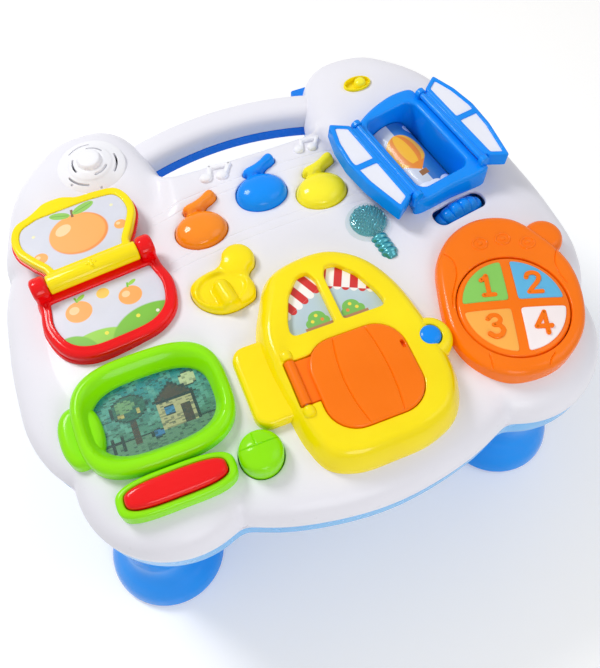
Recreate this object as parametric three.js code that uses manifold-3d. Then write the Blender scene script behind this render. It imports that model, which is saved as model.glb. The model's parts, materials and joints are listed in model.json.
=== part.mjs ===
// Activity table for babies: a domed play panel on four legs, with a book, a window, a car,
// a screen, a number disc and sound buttons. Millimetres, Z up, the floor at Z = 0.
// The panel is modelled from its rim plane, where the white top shell meets the blue tray.
import * as THREE from 'three';
import { mergeVertices } from 'three/addons/utils/BufferGeometryUtils.js';
import Module from 'manifold-3d';

const wasm = await Module();
wasm.setup();

// Driving sizes of the table
const rimHeight = 180;
const halfWidth = 204;
const frontReach = 134;
const rearReach = 219;
const backEdge = 144;
const crownHeight = 31;
const bodyMiddleY = -8;
const trayDepth = 24;
const wall = 2.5;
const clearance = 0.3;
const overrun = 20;
const weldDistance = 0.0005;

// Front and rear lobes of the panel
const frontLobeX = 122;
const frontLobeY = -58;
const frontLobeRadius = 62;
const frontLobeHeight = 27;
const rearLobeX = 118;
const rearLobeY = 152;
const rearLobeHalfWidth = 60;
const rearLobeHeight = 31;

// Carry handle
const handleX = 84;
const handleY = 190.5;
const handleBow = 19;
const handleWidth = 27;
const handleRise = 16;
const handleDrop = 10;
const handleCorner = 8;

// Legs
const frontLegX = 151.5;
const frontLegY = -61;
const rearLegX = 148;
const rearLegY = 150;
const legRadius = 27;
const footRadius = 46;
const footHeight = 34;
const spigotRadius = 20;
const spigotLength = 12;

// Mouldings of the panel: the height inside the shell at which they all end
const mouldingFloor = 14;
const edgeRound = 3;
const cardThickness = 0.8;

// Book
const bookX = -128;
const bookY = 76.5;
const bookAngle = 5;
const pageHalfWidth = 45.5;
const pageLength = 60;
const pageTop = 38;
const pageRim = 7;
const pageRecess = 3;
const bookHingeHeight = 43.5;
const bookKnuckleRadius = 8;
const bookKnuckleLength = 11;
const spineHalfLength = 31.5;
const spineRadius = 6.5;
const bookPinRadius = 1.5;
const leafHalfWidth = 43;
const leafLength = 62;
const leafThickness = 5.5;
const leafRim = 6;
const leafRecess = 1.5;
const coverThickness = 2.5;
const leafRestAngle = 3.5;
const leafTabRise = 6;

// Window with its shutters and picture roller
const windowX = 118;
const windowY = 96;
const windowAngle = 11;
const frameHalfWidth = 30;
const frameLow = -48;
const frameHigh = 46;
const frameTop = 44;
const openingHalfWidth = 21.5;
const openingLow = -38;
const openingHigh = 33;
const shutterAxisX = 29;
const shutterAxisHeight = 47;
const shutterBarrelRadius = 2.3;
const shutterPinRadius = 1.3;
const shutterLow = -41;
const shutterHigh = 30;
const shutterReach = 27.5;
const shutterHalfLength = 46;
const shutterGap = 5.2;
const shutterAbove = 2;
const shutterBelow = 9;
const shutterRim = 4.2;
const shutterBar = 5;
const leftShutterRestAngle = 6;
const rightShutterRestAngle = -4;
const lugLength = 4;
const lugRadius = 4;
const rollerRadius = 20.5;
const rollerHeight = 9;
const rollerLow = -37;
const rollerHigh = 32;
const rollerMargin = 0.9;
const shaftRadius = 3;
const wheelRadius = 25;
const wheelWidth = 13;
const wheelY = -58;
const wheelRibDepth = 1.6;
const wheelRibCount = 18;
const slotHalfLength = 22;
const slotMargin = 1;
const shaftOverhang = 1;
const cradleHalfWidth = 11;
const cradleFront = -43;
const cradleRear = 38;
const cradleWall = 3;
const cradleBase = 2;

// Note buttons, all alike
const noteSpots = {
  note_button_left: { x: -49.5, y: 88, color: 0xf57a12 },
  note_button_middle: { x: 1.5, y: 103.5, color: 0x0a8ae6 },
  note_button_right: { x: 42.5, y: 88.5, color: 0xf6dd28 },
};
const noteHalfWidth = 19;
const noteHalfDepth = 15.5;
const noteTop = 38;
const stemLength = 20;
const stemWidth = 10;
const buttonFloor = 20;
const buttonFlange = 2;
const flangeThickness = 1.8;
const buttonTravel = 3;

// Button in the form of a dummy
const dummyX = -52;
const dummyY = 34;
const dummyHalfWidth = 21;
const dummyHalfDepth = 17;
const dummyTop = 38;
const teatX = 16.8;
const teatY = 18.5;
const teatRadius = 12.3;
const dummyRingRadius = 10;
const dummyRingRise = 4;

// Lamp in the form of a bulb
const bulbX = 62;
const bulbY = 50;
const bulbRadius = 16.5;
const bulbTop = 37;
const bulbNeckLength = 33.5;
const bulbNeckHalfWidth = 7;
const bulbAngle = 8;
const lampRadius = 3;

// Car
const carX = 9;
const carY = -38.5;
const cabinHalfWidth = 58;
const cabinHalfDepth = 76.6;
const carTop = 46;
const carDraft = 10;
const trunkX = -53.5;
const trunkY = -2.5;
const trunkHalfWidth = 20;
const trunkHalfDepth = 29;
const trunkTop = 38;
const trunkCorner = 10;
const noseX = 49.5;
const noseY = -14.5;
const noseRadius = 15.5;
const noseTop = 44;
const headlightRadius = 7.5;
const headlightTop = 48;
const carWindowWidth = 30;
const carWindowDepth = 42;
const carWindowInner = 3;
const carWindowLow = 16.5;
const carWindowFloor = 40.5;
const doorX = 0.5;
const doorY = -25;
const doorHalfWidth = 32.5;
const doorHalfDepth = 31.5;
const doorCorner = 20;
const doorThickness = 5.5;
const doorSeat = 42.2;
const doorLedge = 5;
const recessFloor = 33;
const strapLow = -30.5;
const strapHigh = 0.5;
const doorAxisX = -41.5;
const doorAxisHeight = 45.5;
const doorBarrelRadius = 3.5;
const doorPinRadius = 1.1;
const doorPinOverlap = 5;
const grooveWidth = 1.2;
const grooveDepth = 0.8;
const grooveSpacing = 26;

// Screen and keyboard
const screenX = -120.5;
const screenY = -29.7;
const bezelHalfWidth = 50;
const bezelHalfDepth = 39.5;
const bezelTop = 39.5;
const screenHalfWidth = 38.6;
const screenHalfDepth = 25.5;
const dishGrow = 7;
const screenFace = 28;
const lensThickness = 2;
const earX = -47;
const earHalfWidth = 14;
const earHalfDepth = 21;
const earTop = 32;
const keyboardX = -121.6;
const keyboardY = -83.2;
const keyboardHalfWidth = 37.4;
const keyboardHalfDepth = 12.8;
const keyboardTop = 36;
const barHalfWidth = 32;
const barHalfDepth = 8.4;
const barTop = 40.5;
const mouseX = -67.8;
const mouseY = -82.5;
const mouseRadius = 14.4;
const mouseShoulder = 37;
const mouseTop = 42;

// Phone in the form of a fruit, with its number disc
const phoneX = 124;
const phoneY = -39.3;
const phoneHalfWidth = 50;
const phoneHalfDepth = 60;
const phoneTop = 40;
const phoneEarX = 46;
const phoneEarY = 32;
const phoneEarRadius = 14;
const phoneEarTop = 35;
const discX = -3;
const discY = -12.2;
const discRadius = 37.5;
const discFloor = 35;
const discTop = 41;
const discRecess = 31.5;
const discStemRadius = 30;
const crossWidth = 7;
const crossRise = 1.6;
const crossAngle = -17;

// Speaker and power switch on the rear lobes
const speakerX = -107;
const speakerY = 171;
const grilleRadius = 25.5;
const grilleLow = 26;
const grilleEdge = 31;
const grilleTop = 40.5;
const grilleCapRadius = 8.5;
const grilleThickness = 2;
const slotWidth = 1.8;
const slotRadii = [12.5, 19];
const slotSweepAngle = 62;
const driverRadius = 23.5;
const driverDepth = 17.5;
const switchX = 107;
const switchY = 173;
const switchHalfWidth = 11;
const switchHalfDepth = 7;
const switchTop = 33;
const switchRecess = 4;
const sliderHalfWidth = 4.6;
const sliderHalfDepth = 4.4;
const sliderTravel = 5;
const sliderStem = 3;
const switchBodyDepth = 7;

// Circuit boards, key mats and their posts
const boardLevel = 10.6;
const boardThickness = 1.6;
const matThickness = 1;
const domeRadius = 4;
const domeHeight = 2.2;
const postRadius = 3.5;
const matInset = 2.5;
const boards = {
  main: {
    x: 1,
    y: 76,
    halfWidth: 72,
    halfDepth: 36,
    postShares: [[-0.93, -0.86], [0.93, -0.86], [0.93, 0.86], [-0.93, 0.86]],
  },
  left: {
    x: -107,
    y: -87,
    halfWidth: 44.5,
    halfDepth: 15,
    postShares: [[-0.35, -0.6], [-0.35, 0.6], [0.85, -0.6], [0.85, 0.6]],
  },
  right: {
    x: 101,
    y: -51.5,
    halfWidth: 54,
    halfDepth: 30,
    postShares: [[-0.9, -0.82], [-0.9, 0.82], [0.72, 0.82], [0.4, -0.85]],
  },
};

// Battery compartment under the tray
const cellRadius = 7.2;
const cellLength = 50;
const cellPitch = 15;
const cellCount = 3;
const cellNub = 1.2;
const boxWall = 1.6;
const boxHeight = 17;

// Shares of the sizes above
const cabinOutlineShares = [
  [0, -1], [0.43, -0.975], [0.78, -0.86], [0.97, -0.62], [1.02, -0.33], [0.98, 0.03],
  [0.86, 0.48], [0.62, 0.8], [0.26, 0.98], [-0.15, 1], [-0.54, 0.91], [-0.77, 0.65], [-0.94, 0.36],
  [-0.97, 0.05], [-0.92, -0.36], [-0.86, -0.66], [-0.73, -0.88], [-0.44, -0.985],
];
const frontOutlineShares = [
  [0, -1], [0.3, -0.933], [0.48, -0.82], [0.64, -0.68], [0.8, -0.52], [0.94, -0.3], [0.995, -0.08],
];
const backOutlineShares = [
  [1, 0.16], [0.985, 0.42], [0.95, 0.68], [0.86, 0.92], [0.68, 1.04], [0.45, 1.04], [0.3, 1.012],
  [0, 1],
];
const rearLobeOutlineShares = [
  [-0.98, -0.2], [-0.9, 0.4], [-0.72, 0.8], [-0.5, 0.96], [-0.22, 1], [0.17, 0.94], [0.5, 0.74],
  [0.86, 0.38], [1.08, -0.12], [1.16, -0.6], [0.5, -1], [-0.5, -0.9],
];
const pageOutlineShares = [
  [0, -1], [0.55, -0.96], [0.86, -0.79], [1, -0.46], [0.95, -0.2], [0.88, 0.05],
];
const leafOutlineShares = [
  [0.69, 0], [0.69, 0.15], [0.85, 0.34], [1, 0.56], [0.98, 0.78], [0.85, 0.93], [0.5, 0.99], [0, 1],
];
const frameOutlineShares = [
  [-1, -0.86], [-1.04, -1], [0, -1.04], [1.04, -1.04], [1, -0.88], [1, 0.75], [0.93, 0.93],
  [0.5, 1], [0, 0.97], [-0.5, 0.88], [-0.85, 0.76], [-1, 0.62],
];
const shutterOutlineShares = [
  [0, 0.72], [0.6, 0.9], [0.88, 0.5], [1, 0.08], [0.93, -0.4], [0.62, -1.08], [0, -0.92],
];
const carWindowShares = [
  [0, 0], [0, 0.82], [0.12, 1], [0.36, 0.98], [0.7, 0.7], [0.94, 0.28], [1, 0.08], [0.94, 0],
];
const phoneOutlineShares = [
  [0, -1], [0.38, -0.9], [0.72, -0.66], [0.95, -0.25], [1, 0.12], [0.86, 0.52], [0.6, 0.86],
  [0.15, 1], [-0.3, 0.92], [-0.66, 0.66], [-0.86, 0.28], [-1, -0.25], [-0.9, -0.62], [-0.52, -0.93],
];
const stemOutlineShares = [
  [-0.35, 0], [0.02, -0.15], [0.35, 0.1], [0.7, 0.4], [1, 0.65], [0.98, 1.3], [0.75, 1.35],
  [0.35, 0.95], [-0.1, 0.75], [-0.45, 0.5],
];
const dummyOutlineShares = [
  [-1, 0.2], [-0.7, -0.6], [-0.3, -0.95], [0.4, -1], [0.9, -0.75], [1, 0.1], [0.6, 0.85],
  [-0.2, 1], [-0.75, 0.85],
];
const panelProfileShares = [
  [1, 0], [0.992, 0.22], [0.96, 0.49], [0.9, 0.68], [0.79, 0.83], [0.58, 0.94], [0.25, 1],
];
const lobeProfileShares = [
  [1, 0], [0.985, 0.2], [0.93, 0.52], [0.82, 0.77], [0.6, 0.95], [0.3, 1],
];
const hollowPanelProfileShares = [[1, 0], [0.95, 0.5], [0.79, 0.81], [0.45, 0.97]];
const hollowLobeProfileShares = [[1, 0], [0.93, 0.5], [0.72, 0.86], [0.4, 0.98]];
const trayProfileShares = [[0.93, -1], [0.975, -0.9], [0.992, -0.7], [1, 0]];
const footProfileShares = [
  [1, 0.03], [0.99, 0.2], [0.94, 0.42], [0.84, 0.66], [0.74, 0.85], [0.66, 1],
];
const driverProfileShares = [
  [0, 1], [0.6, 1], [0.6, 0.6], [0.85, 0.3], [1, 0.15], [1, 0], [0.85, 0], [0.3, 0.4], [0, 0.3],
];

// Counts of sides on round stretches
const panelSides = 44;
const lobeSides = 22;
const hollowSides = 24;
const hollowLobeSides = 12;
const mouldingSides = 20;
const smallSides = 14;
const rodSides = 8;
const legSides = 16;

const colors = {
  white: 0xeeeef4,
  tray: 0x7db4ee,
  blue: 0x0a84e8,
  red: 0xe00a10,
  yellow: 0xffdf00,
  orange: 0xff7a05,
  green: 0x9be60f,
  teal: 0x2fa9ac,
  card: 0xdfe2ea,
  board: 0x1c6b3c,
  rubber: 0x55585c,
  steel: 0xb8bcc2,
  dark: 0x26282b,
};

// Outlines

/** Turns degrees into radians. */
function radians(angle) {
  return THREE.MathUtils.degToRad(angle);
}

/** A smooth closed outline through points, evenly divided and counterclockwise. */
function smoothOutline(points, sides) {
  const corners = points.map(([x, y]) => new THREE.Vector3(x, y, 0));
  const curve = new THREE.CatmullRomCurve3(corners, true, 'centripetal');
  const outline = curve.getSpacedPoints(sides).slice(0, sides).map((p) => [p.x, p.y]);
  return counterclockwise(outline);
}

/** Points given as shares of a half width and a half depth. */
function scaledShares(shares, alongX, alongY) {
  return shares.map(([x, y]) => [x * alongX, y * alongY]);
}

/** Adds the mirror image in X of a right hand run that starts and ends on or off the middle. */
function mirrored(points) {
  const left = points.filter(([x]) => x !== 0).map(([x, y]) => [-x, y]);
  return [...points, ...left.reverse()];
}

/** Puts an outline into counterclockwise order. */
function counterclockwise(outline) {
  const vectors = outline.map(([x, y]) => new THREE.Vector2(x, y));
  return THREE.ShapeUtils.isClockWise(vectors) ? [...outline].reverse() : outline;
}

/** An outline moved outward by a distance along its mitred corners. */
function offsetOutline(outline, distance) {
  return outline.map((point, index) => {
    const before = outline[(index + outline.length - 1) % outline.length];
    const after = outline[(index + 1) % outline.length];
    const first = new THREE.Vector2(point[1] - before[1], before[0] - point[0]).normalize();
    const second = new THREE.Vector2(after[1] - point[1], point[0] - after[0]).normalize();
    const normal = first.clone().add(second).normalize();
    const reach = distance / Math.max(normal.dot(first), 0.5);
    return [point[0] + normal.x * reach, point[1] + normal.y * reach];
  });
}

/** An outline turned about its origin and moved to a place. */
function placedOutline(outline, x, y, angle = 0) {
  const cosine = Math.cos(radians(angle));
  const sine = Math.sin(radians(angle));
  return outline.map(([px, py]) => [x + px * cosine - py * sine, y + px * sine + py * cosine]);
}

/** An outline drawn toward a centre by a share. */
function shrunkOutline(outline, x, y, share) {
  return outline.map(([px, py]) => [x + (px - x) * share, y + (py - y) * share]);
}

function ellipseOutline(alongX, alongY, sides = smallSides) {
  return Array.from({ length: sides }, (_, index) => {
    const angle = (index / sides) * 2 * Math.PI;
    return [alongX * Math.cos(angle), alongY * Math.sin(angle)];
  });
}

function circleOutline(radius, sides = smallSides) {
  return ellipseOutline(radius, radius, sides);
}

/** A superellipse: power 2 is an ellipse, a higher power is squarer. */
function squareOvalOutline(alongX, alongY, power, sides = mouldingSides) {
  return Array.from({ length: sides }, (_, index) => {
    const angle = ((index + 0.5) / sides) * 2 * Math.PI;
    const cosine = Math.cos(angle);
    const sine = Math.sin(angle);
    return [
      alongX * Math.sign(cosine) * Math.abs(cosine) ** (2 / power),
      alongY * Math.sign(sine) * Math.abs(sine) ** (2 / power),
    ];
  });
}

/** A rectangle with round corners about its middle. */
function roundedOutline(alongX, alongY, corner, cornerSides = 4) {
  const quarter = Math.PI / 2;
  return [[1, 1], [-1, 1], [-1, -1], [1, -1]].flatMap(([sideX, sideY], turn) => Array.from(
    { length: cornerSides + 1 },
    (_, step) => {
      const angle = (turn + step / cornerSides) * quarter;
      return [
        sideX * (alongX - corner) + corner * Math.cos(angle),
        sideY * (alongY - corner) + corner * Math.sin(angle),
      ];
    },
  ));
}

function boxOutline(alongX, alongY) {
  return [[-alongX, -alongY], [alongX, -alongY], [alongX, alongY], [-alongX, alongY]];
}

// Solids

/** A manifold solid from a geometry. */
function solidFrom(geometry) {
  const bare = geometry.clone();
  bare.deleteAttribute('normal');
  bare.deleteAttribute('uv');
  const merged = mergeVertices(bare, weldDistance);
  return new wasm.Manifold(new wasm.Mesh({
    numProp: 3,
    vertProperties: new Float32Array(merged.attributes.position.array),
    triVerts: new Uint32Array(merged.index.array),
  }));
}

/** A closed solid through outlines of one length, from the lowest level to the highest. */
function lofted(levels) {
  const sides = levels[0].outline.length;
  const positions = levels.flatMap(({ outline, z }) => outline.flatMap(([x, y]) => [x, y, z]));
  const indices = [];
  for (let level = 0; level < levels.length - 1; level += 1) {
    for (let side = 0; side < sides; side += 1) {
      const next = (side + 1) % sides;
      const low = level * sides;
      const high = low + sides;
      indices.push(low + side, low + next, high + next);
      indices.push(low + side, high + next, high + side);
    }
  }
  const capFaces = ({ outline }) => THREE.ShapeUtils.triangulateShape(
    outline.map(([x, y]) => new THREE.Vector2(x, y)),
    [],
  );
  const last = (levels.length - 1) * sides;
  capFaces(levels[0]).forEach(([a, b, c]) => indices.push(c, b, a));
  capFaces(levels.at(-1)).forEach(([a, b, c]) => indices.push(last + a, last + b, last + c));
  const geometry = new THREE.BufferGeometry();
  geometry.setAttribute('position', new THREE.Float32BufferAttribute(positions, 3));
  geometry.setIndex(indices);
  return solidFrom(geometry);
}

/** A straight prism. */
function prism(outline, low, high) {
  return lofted([{ outline, z: low }, { outline, z: high }]);
}

/** A prism whose upper edge is rounded in three steps. */
function softPrism(outline, low, high, round = edgeRound) {
  return lofted([
    { outline, z: low },
    { outline, z: high - round },
    { outline: offsetOutline(outline, -round * 0.3), z: high - round * 0.3 },
    { outline: offsetOutline(outline, -round), z: high },
  ]);
}

/** A pillow: a prism with a domed top that closes toward its middle. */
function pillow(outline, low, shoulder, high) {
  const rise = high - shoulder;
  const centre = middleOf(outline);
  const step = (share, height) => ({
    outline: shrunkOutline(outline, ...centre, share),
    z: shoulder + rise * height,
  });
  return lofted([
    { outline, z: low },
    { outline, z: shoulder },
    step(0.92, 0.5),
    step(0.7, 0.85),
    step(0.35, 1),
  ]);
}

function middleOf(outline) {
  const sum = outline.reduce(([sx, sy], [x, y]) => [sx + x, sy + y], [0, 0]);
  return [sum[0] / outline.length, sum[1] / outline.length];
}

/** A cylinder along X, Y or Z about a middle point. */
function rod(radius, length, axis, x, y, z, sides = rodSides) {
  const geometry = new THREE.CylinderGeometry(radius, radius, length, sides);
  if (axis === 'x') geometry.rotateZ(Math.PI / 2);
  if (axis === 'z') geometry.rotateX(Math.PI / 2);
  geometry.translate(x, y, z);
  return solidFrom(geometry);
}

function block(fromX, toX, fromY, toY, fromZ, toZ) {
  const geometry = new THREE.BoxGeometry(toX - fromX, toY - fromY, toZ - fromZ);
  geometry.translate((fromX + toX) / 2, (fromY + toY) / 2, (fromZ + toZ) / 2);
  return solidFrom(geometry);
}

/** A turned solid about Z from a closed profile of radius and height. */
function turned(profile, sides, x = 0, y = 0) {
  const points = profile.map(([radius, height]) => new THREE.Vector2(radius, height));
  const geometry = new THREE.LatheGeometry(points, sides);
  geometry.rotateX(Math.PI / 2);
  geometry.translate(x, y, 0);
  const bare = geometry.clone();
  bare.deleteAttribute('normal');
  bare.deleteAttribute('uv');
  const merged = mergeVertices(bare, weldDistance);
  const index = [];
  for (let at = 0; at < merged.index.count; at += 3) {
    const corners = [0, 1, 2].map((corner) => merged.index.getX(at + corner));
    if (new Set(corners).size === 3) index.push(...corners);
  }
  merged.setIndex(index);
  return solidFrom(merged);
}

/** Joins solids into one. */
function joined(...solids) {
  return solids.reduce((sum, solid) => sum.add(solid));
}

/** Takes solids away from the first one. */
function cut(solid, ...tools) {
  return tools.reduce((rest, tool) => rest.subtract(tool), solid);
}

/** A named mesh from a solid, in its own finish. */
function piece(name, solid, color, roughness = 0.35, metalness = 0) {
  const mesh = solid.getMesh();
  const geometry = new THREE.BufferGeometry();
  geometry.setAttribute('position', new THREE.BufferAttribute(mesh.vertProperties, 3));
  geometry.setIndex(new THREE.BufferAttribute(mesh.triVerts, 1));
  geometry.computeVertexNormals();
  const finish = new THREE.MeshStandardMaterial({ color, roughness, metalness });
  const result = new THREE.Mesh(geometry, finish);
  result.name = name;
  return result;
}

/** A group at a place on the panel. */
function groupAt(x, y, angle = 0, z = 0) {
  const result = new THREE.Group();
  result.position.set(x, y, z);
  result.rotation.z = radians(angle);
  return result;
}

// Outlines of the panel and its mouldings

/** The main body of the panel in plan: front bulge, round sides, straight back edge. */
function bodyOutline(grow = 0, sides = panelSides) {
  const front = scaledShares(frontOutlineShares, halfWidth, frontReach);
  const back = scaledShares(backOutlineShares, halfWidth, backEdge);
  const right = [...front, ...back];
  return offsetOutline(smoothOutline(mirrored(right), sides), grow);
}

function frontLobeOutline(side, grow = 0, sides = lobeSides) {
  return placedOutline(circleOutline(frontLobeRadius + grow, sides), side * frontLobeX, frontLobeY);
}

function rearLobeOutline(side, grow = 0, sides = lobeSides) {
  const shares = scaledShares(rearLobeOutlineShares, rearLobeHalfWidth, rearReach - rearLobeY);
  const points = shares.map(([x, y]) => [side * (rearLobeX + x), rearLobeY + y]);
  return offsetOutline(smoothOutline(points, sides), grow);
}

/** Every lobe of the panel with its middle, height and profile, coarser where it is hollow. */
function lobes(grow) {
  const hollow = grow < 0;
  const around = hollow ? hollowLobeSides : lobeSides;
  const profile = hollow ? hollowLobeProfileShares : lobeProfileShares;
  const list = [{
    outline: bodyOutline(grow, hollow ? hollowSides : panelSides),
    middle: [0, bodyMiddleY],
    height: crownHeight,
    profile: hollow ? hollowPanelProfileShares : panelProfileShares,
  }];
  [-1, 1].forEach((side) => {
    list.push({
      outline: frontLobeOutline(side, grow, around),
      middle: [side * frontLobeX, frontLobeY],
      height: frontLobeHeight,
      profile,
    });
    list.push({
      outline: rearLobeOutline(side, grow, around),
      middle: [side * rearLobeX, rearLobeY],
      height: rearLobeHeight,
      profile,
    });
  });
  return list;
}

/** The domed form of the panel, or with a negative grow and a lower height its hollow. */
function panelForm(grow, lower, base) {
  return joined(...lobes(grow).map(({ outline, middle, height, profile }) => lofted([
    ...(base < 0 ? [{ outline, z: base }] : []),
    ...profile.map(([share, rise]) => ({
      outline: shrunkOutline(outline, ...middle, share),
      z: rise * (height - lower) + (base < 0 ? 0 : base),
    })),
  ])));
}

/** The form of the tray under the rim, or its hollow. */
function trayForm(grow, depth, top) {
  return joined(...lobes(grow).map(({ outline, middle }) => lofted(
    trayProfileShares.map(([share, drop]) => ({
      outline: shrunkOutline(outline, ...middle, share),
      z: drop === 0 ? top : drop * depth,
    })),
  )));
}

/** The bowed bar from lobe to lobe, or the part of it between two heights. */
function handleBar(low, high) {
  const depth = handleRise + handleDrop;
  const middle = (handleRise - handleDrop) / 2;
  const steps = 10;
  const section = roundedOutline(handleWidth / 2, depth / 2, handleCorner, 2);
  const positions = [];
  for (let step = 0; step <= steps; step += 1) {
    const x = handleX * (2 * (step / steps) - 1);
    const y = handleY - handleBow * (x / handleX) ** 2;
    section.forEach(([across, up]) => positions.push(x, y + across, middle + up));
  }
  const bar = loopedSections(positions, section.length);
  const reach = handleX + overrun;
  return bar.intersect(block(-reach, reach, backEdge, rearReach, low, high));
}

/** A solid through equal sections along X, closed by its first and last one. */
function loopedSections(positions, sides) {
  const rings = positions.length / 3 / sides;
  const indices = [];
  for (let ring = 0; ring < rings - 1; ring += 1) {
    for (let side = 0; side < sides; side += 1) {
      const next = (side + 1) % sides;
      const low = ring * sides;
      const high = low + sides;
      indices.push(low + side, low + next, high + next);
      indices.push(low + side, high + next, high + side);
    }
  }
  const last = (rings - 1) * sides;
  for (let side = 1; side < sides - 1; side += 1) {
    indices.push(0, side + 1, side);
    indices.push(last, last + side, last + side + 1);
  }
  const geometry = new THREE.BufferGeometry();
  geometry.setAttribute('position', new THREE.Float32BufferAttribute(positions, 3));
  geometry.setIndex(indices);
  return solidFrom(geometry);
}

const pageOutline = smoothOutline(
  mirrored(scaledShares(pageOutlineShares, pageHalfWidth, pageLength)),
  mouldingSides,
);
const cabinOutline = smoothOutline(
  scaledShares(cabinOutlineShares, cabinHalfWidth, cabinHalfDepth),
  mouldingSides,
);
const trunkOutline = placedOutline(
  roundedOutline(trunkHalfWidth, trunkHalfDepth, trunkCorner),
  trunkX,
  trunkY,
);
const noseOutline = placedOutline(circleOutline(noseRadius), noseX, noseY);
const bezelOutline = squareOvalOutline(bezelHalfWidth, bezelHalfDepth, 3);
const earOutline = placedOutline(ellipseOutline(earHalfWidth, earHalfDepth), earX, 0);
const keyboardOutline = squareOvalOutline(keyboardHalfWidth, keyboardHalfDepth, 3.2);
const barOutline = squareOvalOutline(barHalfWidth, barHalfDepth, 3.2);
const phoneOutline = smoothOutline(
  scaledShares(phoneOutlineShares, phoneHalfWidth, phoneHalfDepth),
  mouldingSides,
);
const phoneEarOutline = placedOutline(circleOutline(phoneEarRadius), phoneEarX, phoneEarY);
const frameOutline = smoothOutline(
  scaledShares(frameOutlineShares, frameHalfWidth, frameHigh),
  mouldingSides,
);
const noteBodyOutline = ellipseOutline(noteHalfWidth, noteHalfDepth, smallSides);
const noteStemOutline = placedOutline(
  smoothOutline(scaledShares(stemOutlineShares, stemLength, stemWidth), smallSides),
  0,
  noteHalfDepth,
);
const dummyOutline = smoothOutline(
  scaledShares(dummyOutlineShares, dummyHalfWidth, dummyHalfDepth),
  mouldingSides,
);
const teatOutline = placedOutline(circleOutline(teatRadius), teatX, teatY);
const bulbOutline = circleOutline(bulbRadius, smallSides);
const bulbNeckOutline = placedOutline(
  roundedOutline(bulbNeckHalfWidth, bulbNeckLength / 2, bulbNeckHalfWidth / 2),
  0,
  -bulbNeckLength / 2,
);
const wheelSlotOutline = boxOutline(slotHalfLength, wheelWidth / 2 + slotMargin);

/** Outlines of the buttons that the top shell holds back by their flanges. */
function buttonPassages() {
  const list = [
    { outline: circleOutline(mouseRadius), x: mouseX, y: mouseY },
    { outline: dummyOutline, x: dummyX, y: dummyY },
  ];
  Object.values(noteSpots).forEach(({ x, y }) => list.push({ outline: noteBodyOutline, x, y }));
  return list;
}

/** Every outline that passes through the top shell, with its place. */
function passages() {
  const list = [
    { outline: pageOutline, x: bookX, y: bookY, angle: bookAngle },
    { outline: frameOutline, x: windowX, y: windowY, angle: windowAngle },
    { outline: placedOutline(wheelSlotOutline, 0, wheelY), x: windowX, y: windowY, angle: windowAngle },
    { outline: cabinOutline, x: carX, y: carY },
    { outline: trunkOutline, x: carX, y: carY },
    { outline: noseOutline, x: carX, y: carY },
    { outline: bezelOutline, x: screenX, y: screenY },
    { outline: earOutline, x: screenX, y: screenY },
    { outline: keyboardOutline, x: keyboardX, y: keyboardY },
    { outline: phoneOutline, x: phoneX, y: phoneY },
    { outline: phoneEarOutline, x: phoneX, y: phoneY },
    { outline: teatOutline, x: dummyX, y: dummyY },
    { outline: bulbOutline, x: bulbX, y: bulbY, angle: bulbAngle },
    { outline: bulbNeckOutline, x: bulbX, y: bulbY, angle: bulbAngle },
    { outline: circleOutline(grilleRadius, lobeSides), x: speakerX, y: speakerY },
    { outline: ellipseOutline(switchHalfWidth, switchHalfDepth), x: switchX, y: switchY },
    ...buttonPassages(),
  ];
  Object.values(noteSpots).forEach(({ x, y }) => list.push({ outline: noteStemOutline, x, y }));
  return list;
}

// Shells, handle and legs

function topShell() {
  const outside = joined(panelForm(0, 0, clearance), handleBar(clearance, handleRise + overrun));
  const hollow = panelForm(-wall, wall, -overrun);
  const holes = passages().map(({ outline, x, y, angle = 0 }) => prism(
    placedOutline(offsetOutline(outline, clearance), x, y, angle),
    mouldingFloor - wall,
    crownHeight + overrun,
  ));
  const reliefs = buttonPassages().map(({ outline, x, y }) => prism(
    placedOutline(offsetOutline(outline, buttonFlange + clearance), x, y),
    mouldingFloor,
    buttonFloor + flangeThickness + clearance,
  ));
  return piece('top_shell', cut(outside, hollow, ...holes, ...reliefs), colors.white);
}

/** Places of the posts that carry a board, clear of the legs. */
function boardPosts({ x, y, halfWidth: alongX, halfDepth: alongY, postShares }) {
  return scaledShares(postShares, alongX, alongY).map(([px, py]) => [x + px, y + py]);
}

function legSpots() {
  return {
    leg_front_left: [-frontLegX, frontLegY],
    leg_front_right: [frontLegX, frontLegY],
    leg_rear_left: [-rearLegX, rearLegY],
    leg_rear_right: [rearLegX, rearLegY],
  };
}

/** Half sizes of the battery box inside its walls. */
function batteryRoom() {
  return [cellLength / 2 + cellNub + 2 * clearance, (cellPitch * cellCount) / 2 + clearance];
}

function bottomShell() {
  const floor = -trayDepth + wall;
  const [roomX, roomY] = batteryRoom();
  const outside = joined(trayForm(0, trayDepth, 0), handleBar(-handleDrop - overrun, 0));
  const hollow = trayForm(-wall, -floor, overrun);
  const box = cut(
    prism(boxOutline(roomX + boxWall, roomY + boxWall), floor - wall / 2, floor - wall + boxHeight),
    prism(boxOutline(roomX, roomY), -trayDepth - wall, overrun),
  );
  const posts = Object.values(boards).flatMap(boardPosts).map(([x, y]) => rod(
    postRadius,
    boardLevel - clearance - floor + wall / 2,
    'z',
    x,
    y,
    (boardLevel - clearance + floor - wall / 2) / 2,
  ));
  const sockets = Object.values(legSpots()).map(([x, y]) => rod(
    spigotRadius + clearance,
    trayDepth + wall,
    'z',
    x,
    y,
    -trayDepth + wall / 2,
    legSides,
  ));
  const doorway = prism(boxOutline(roomX, roomY), -trayDepth - wall, floor + wall);
  const solid = cut(joined(cut(outside, hollow), box, ...posts), doorway, ...sockets);
  return piece('bottom_shell', solid, colors.tray);
}

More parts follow.
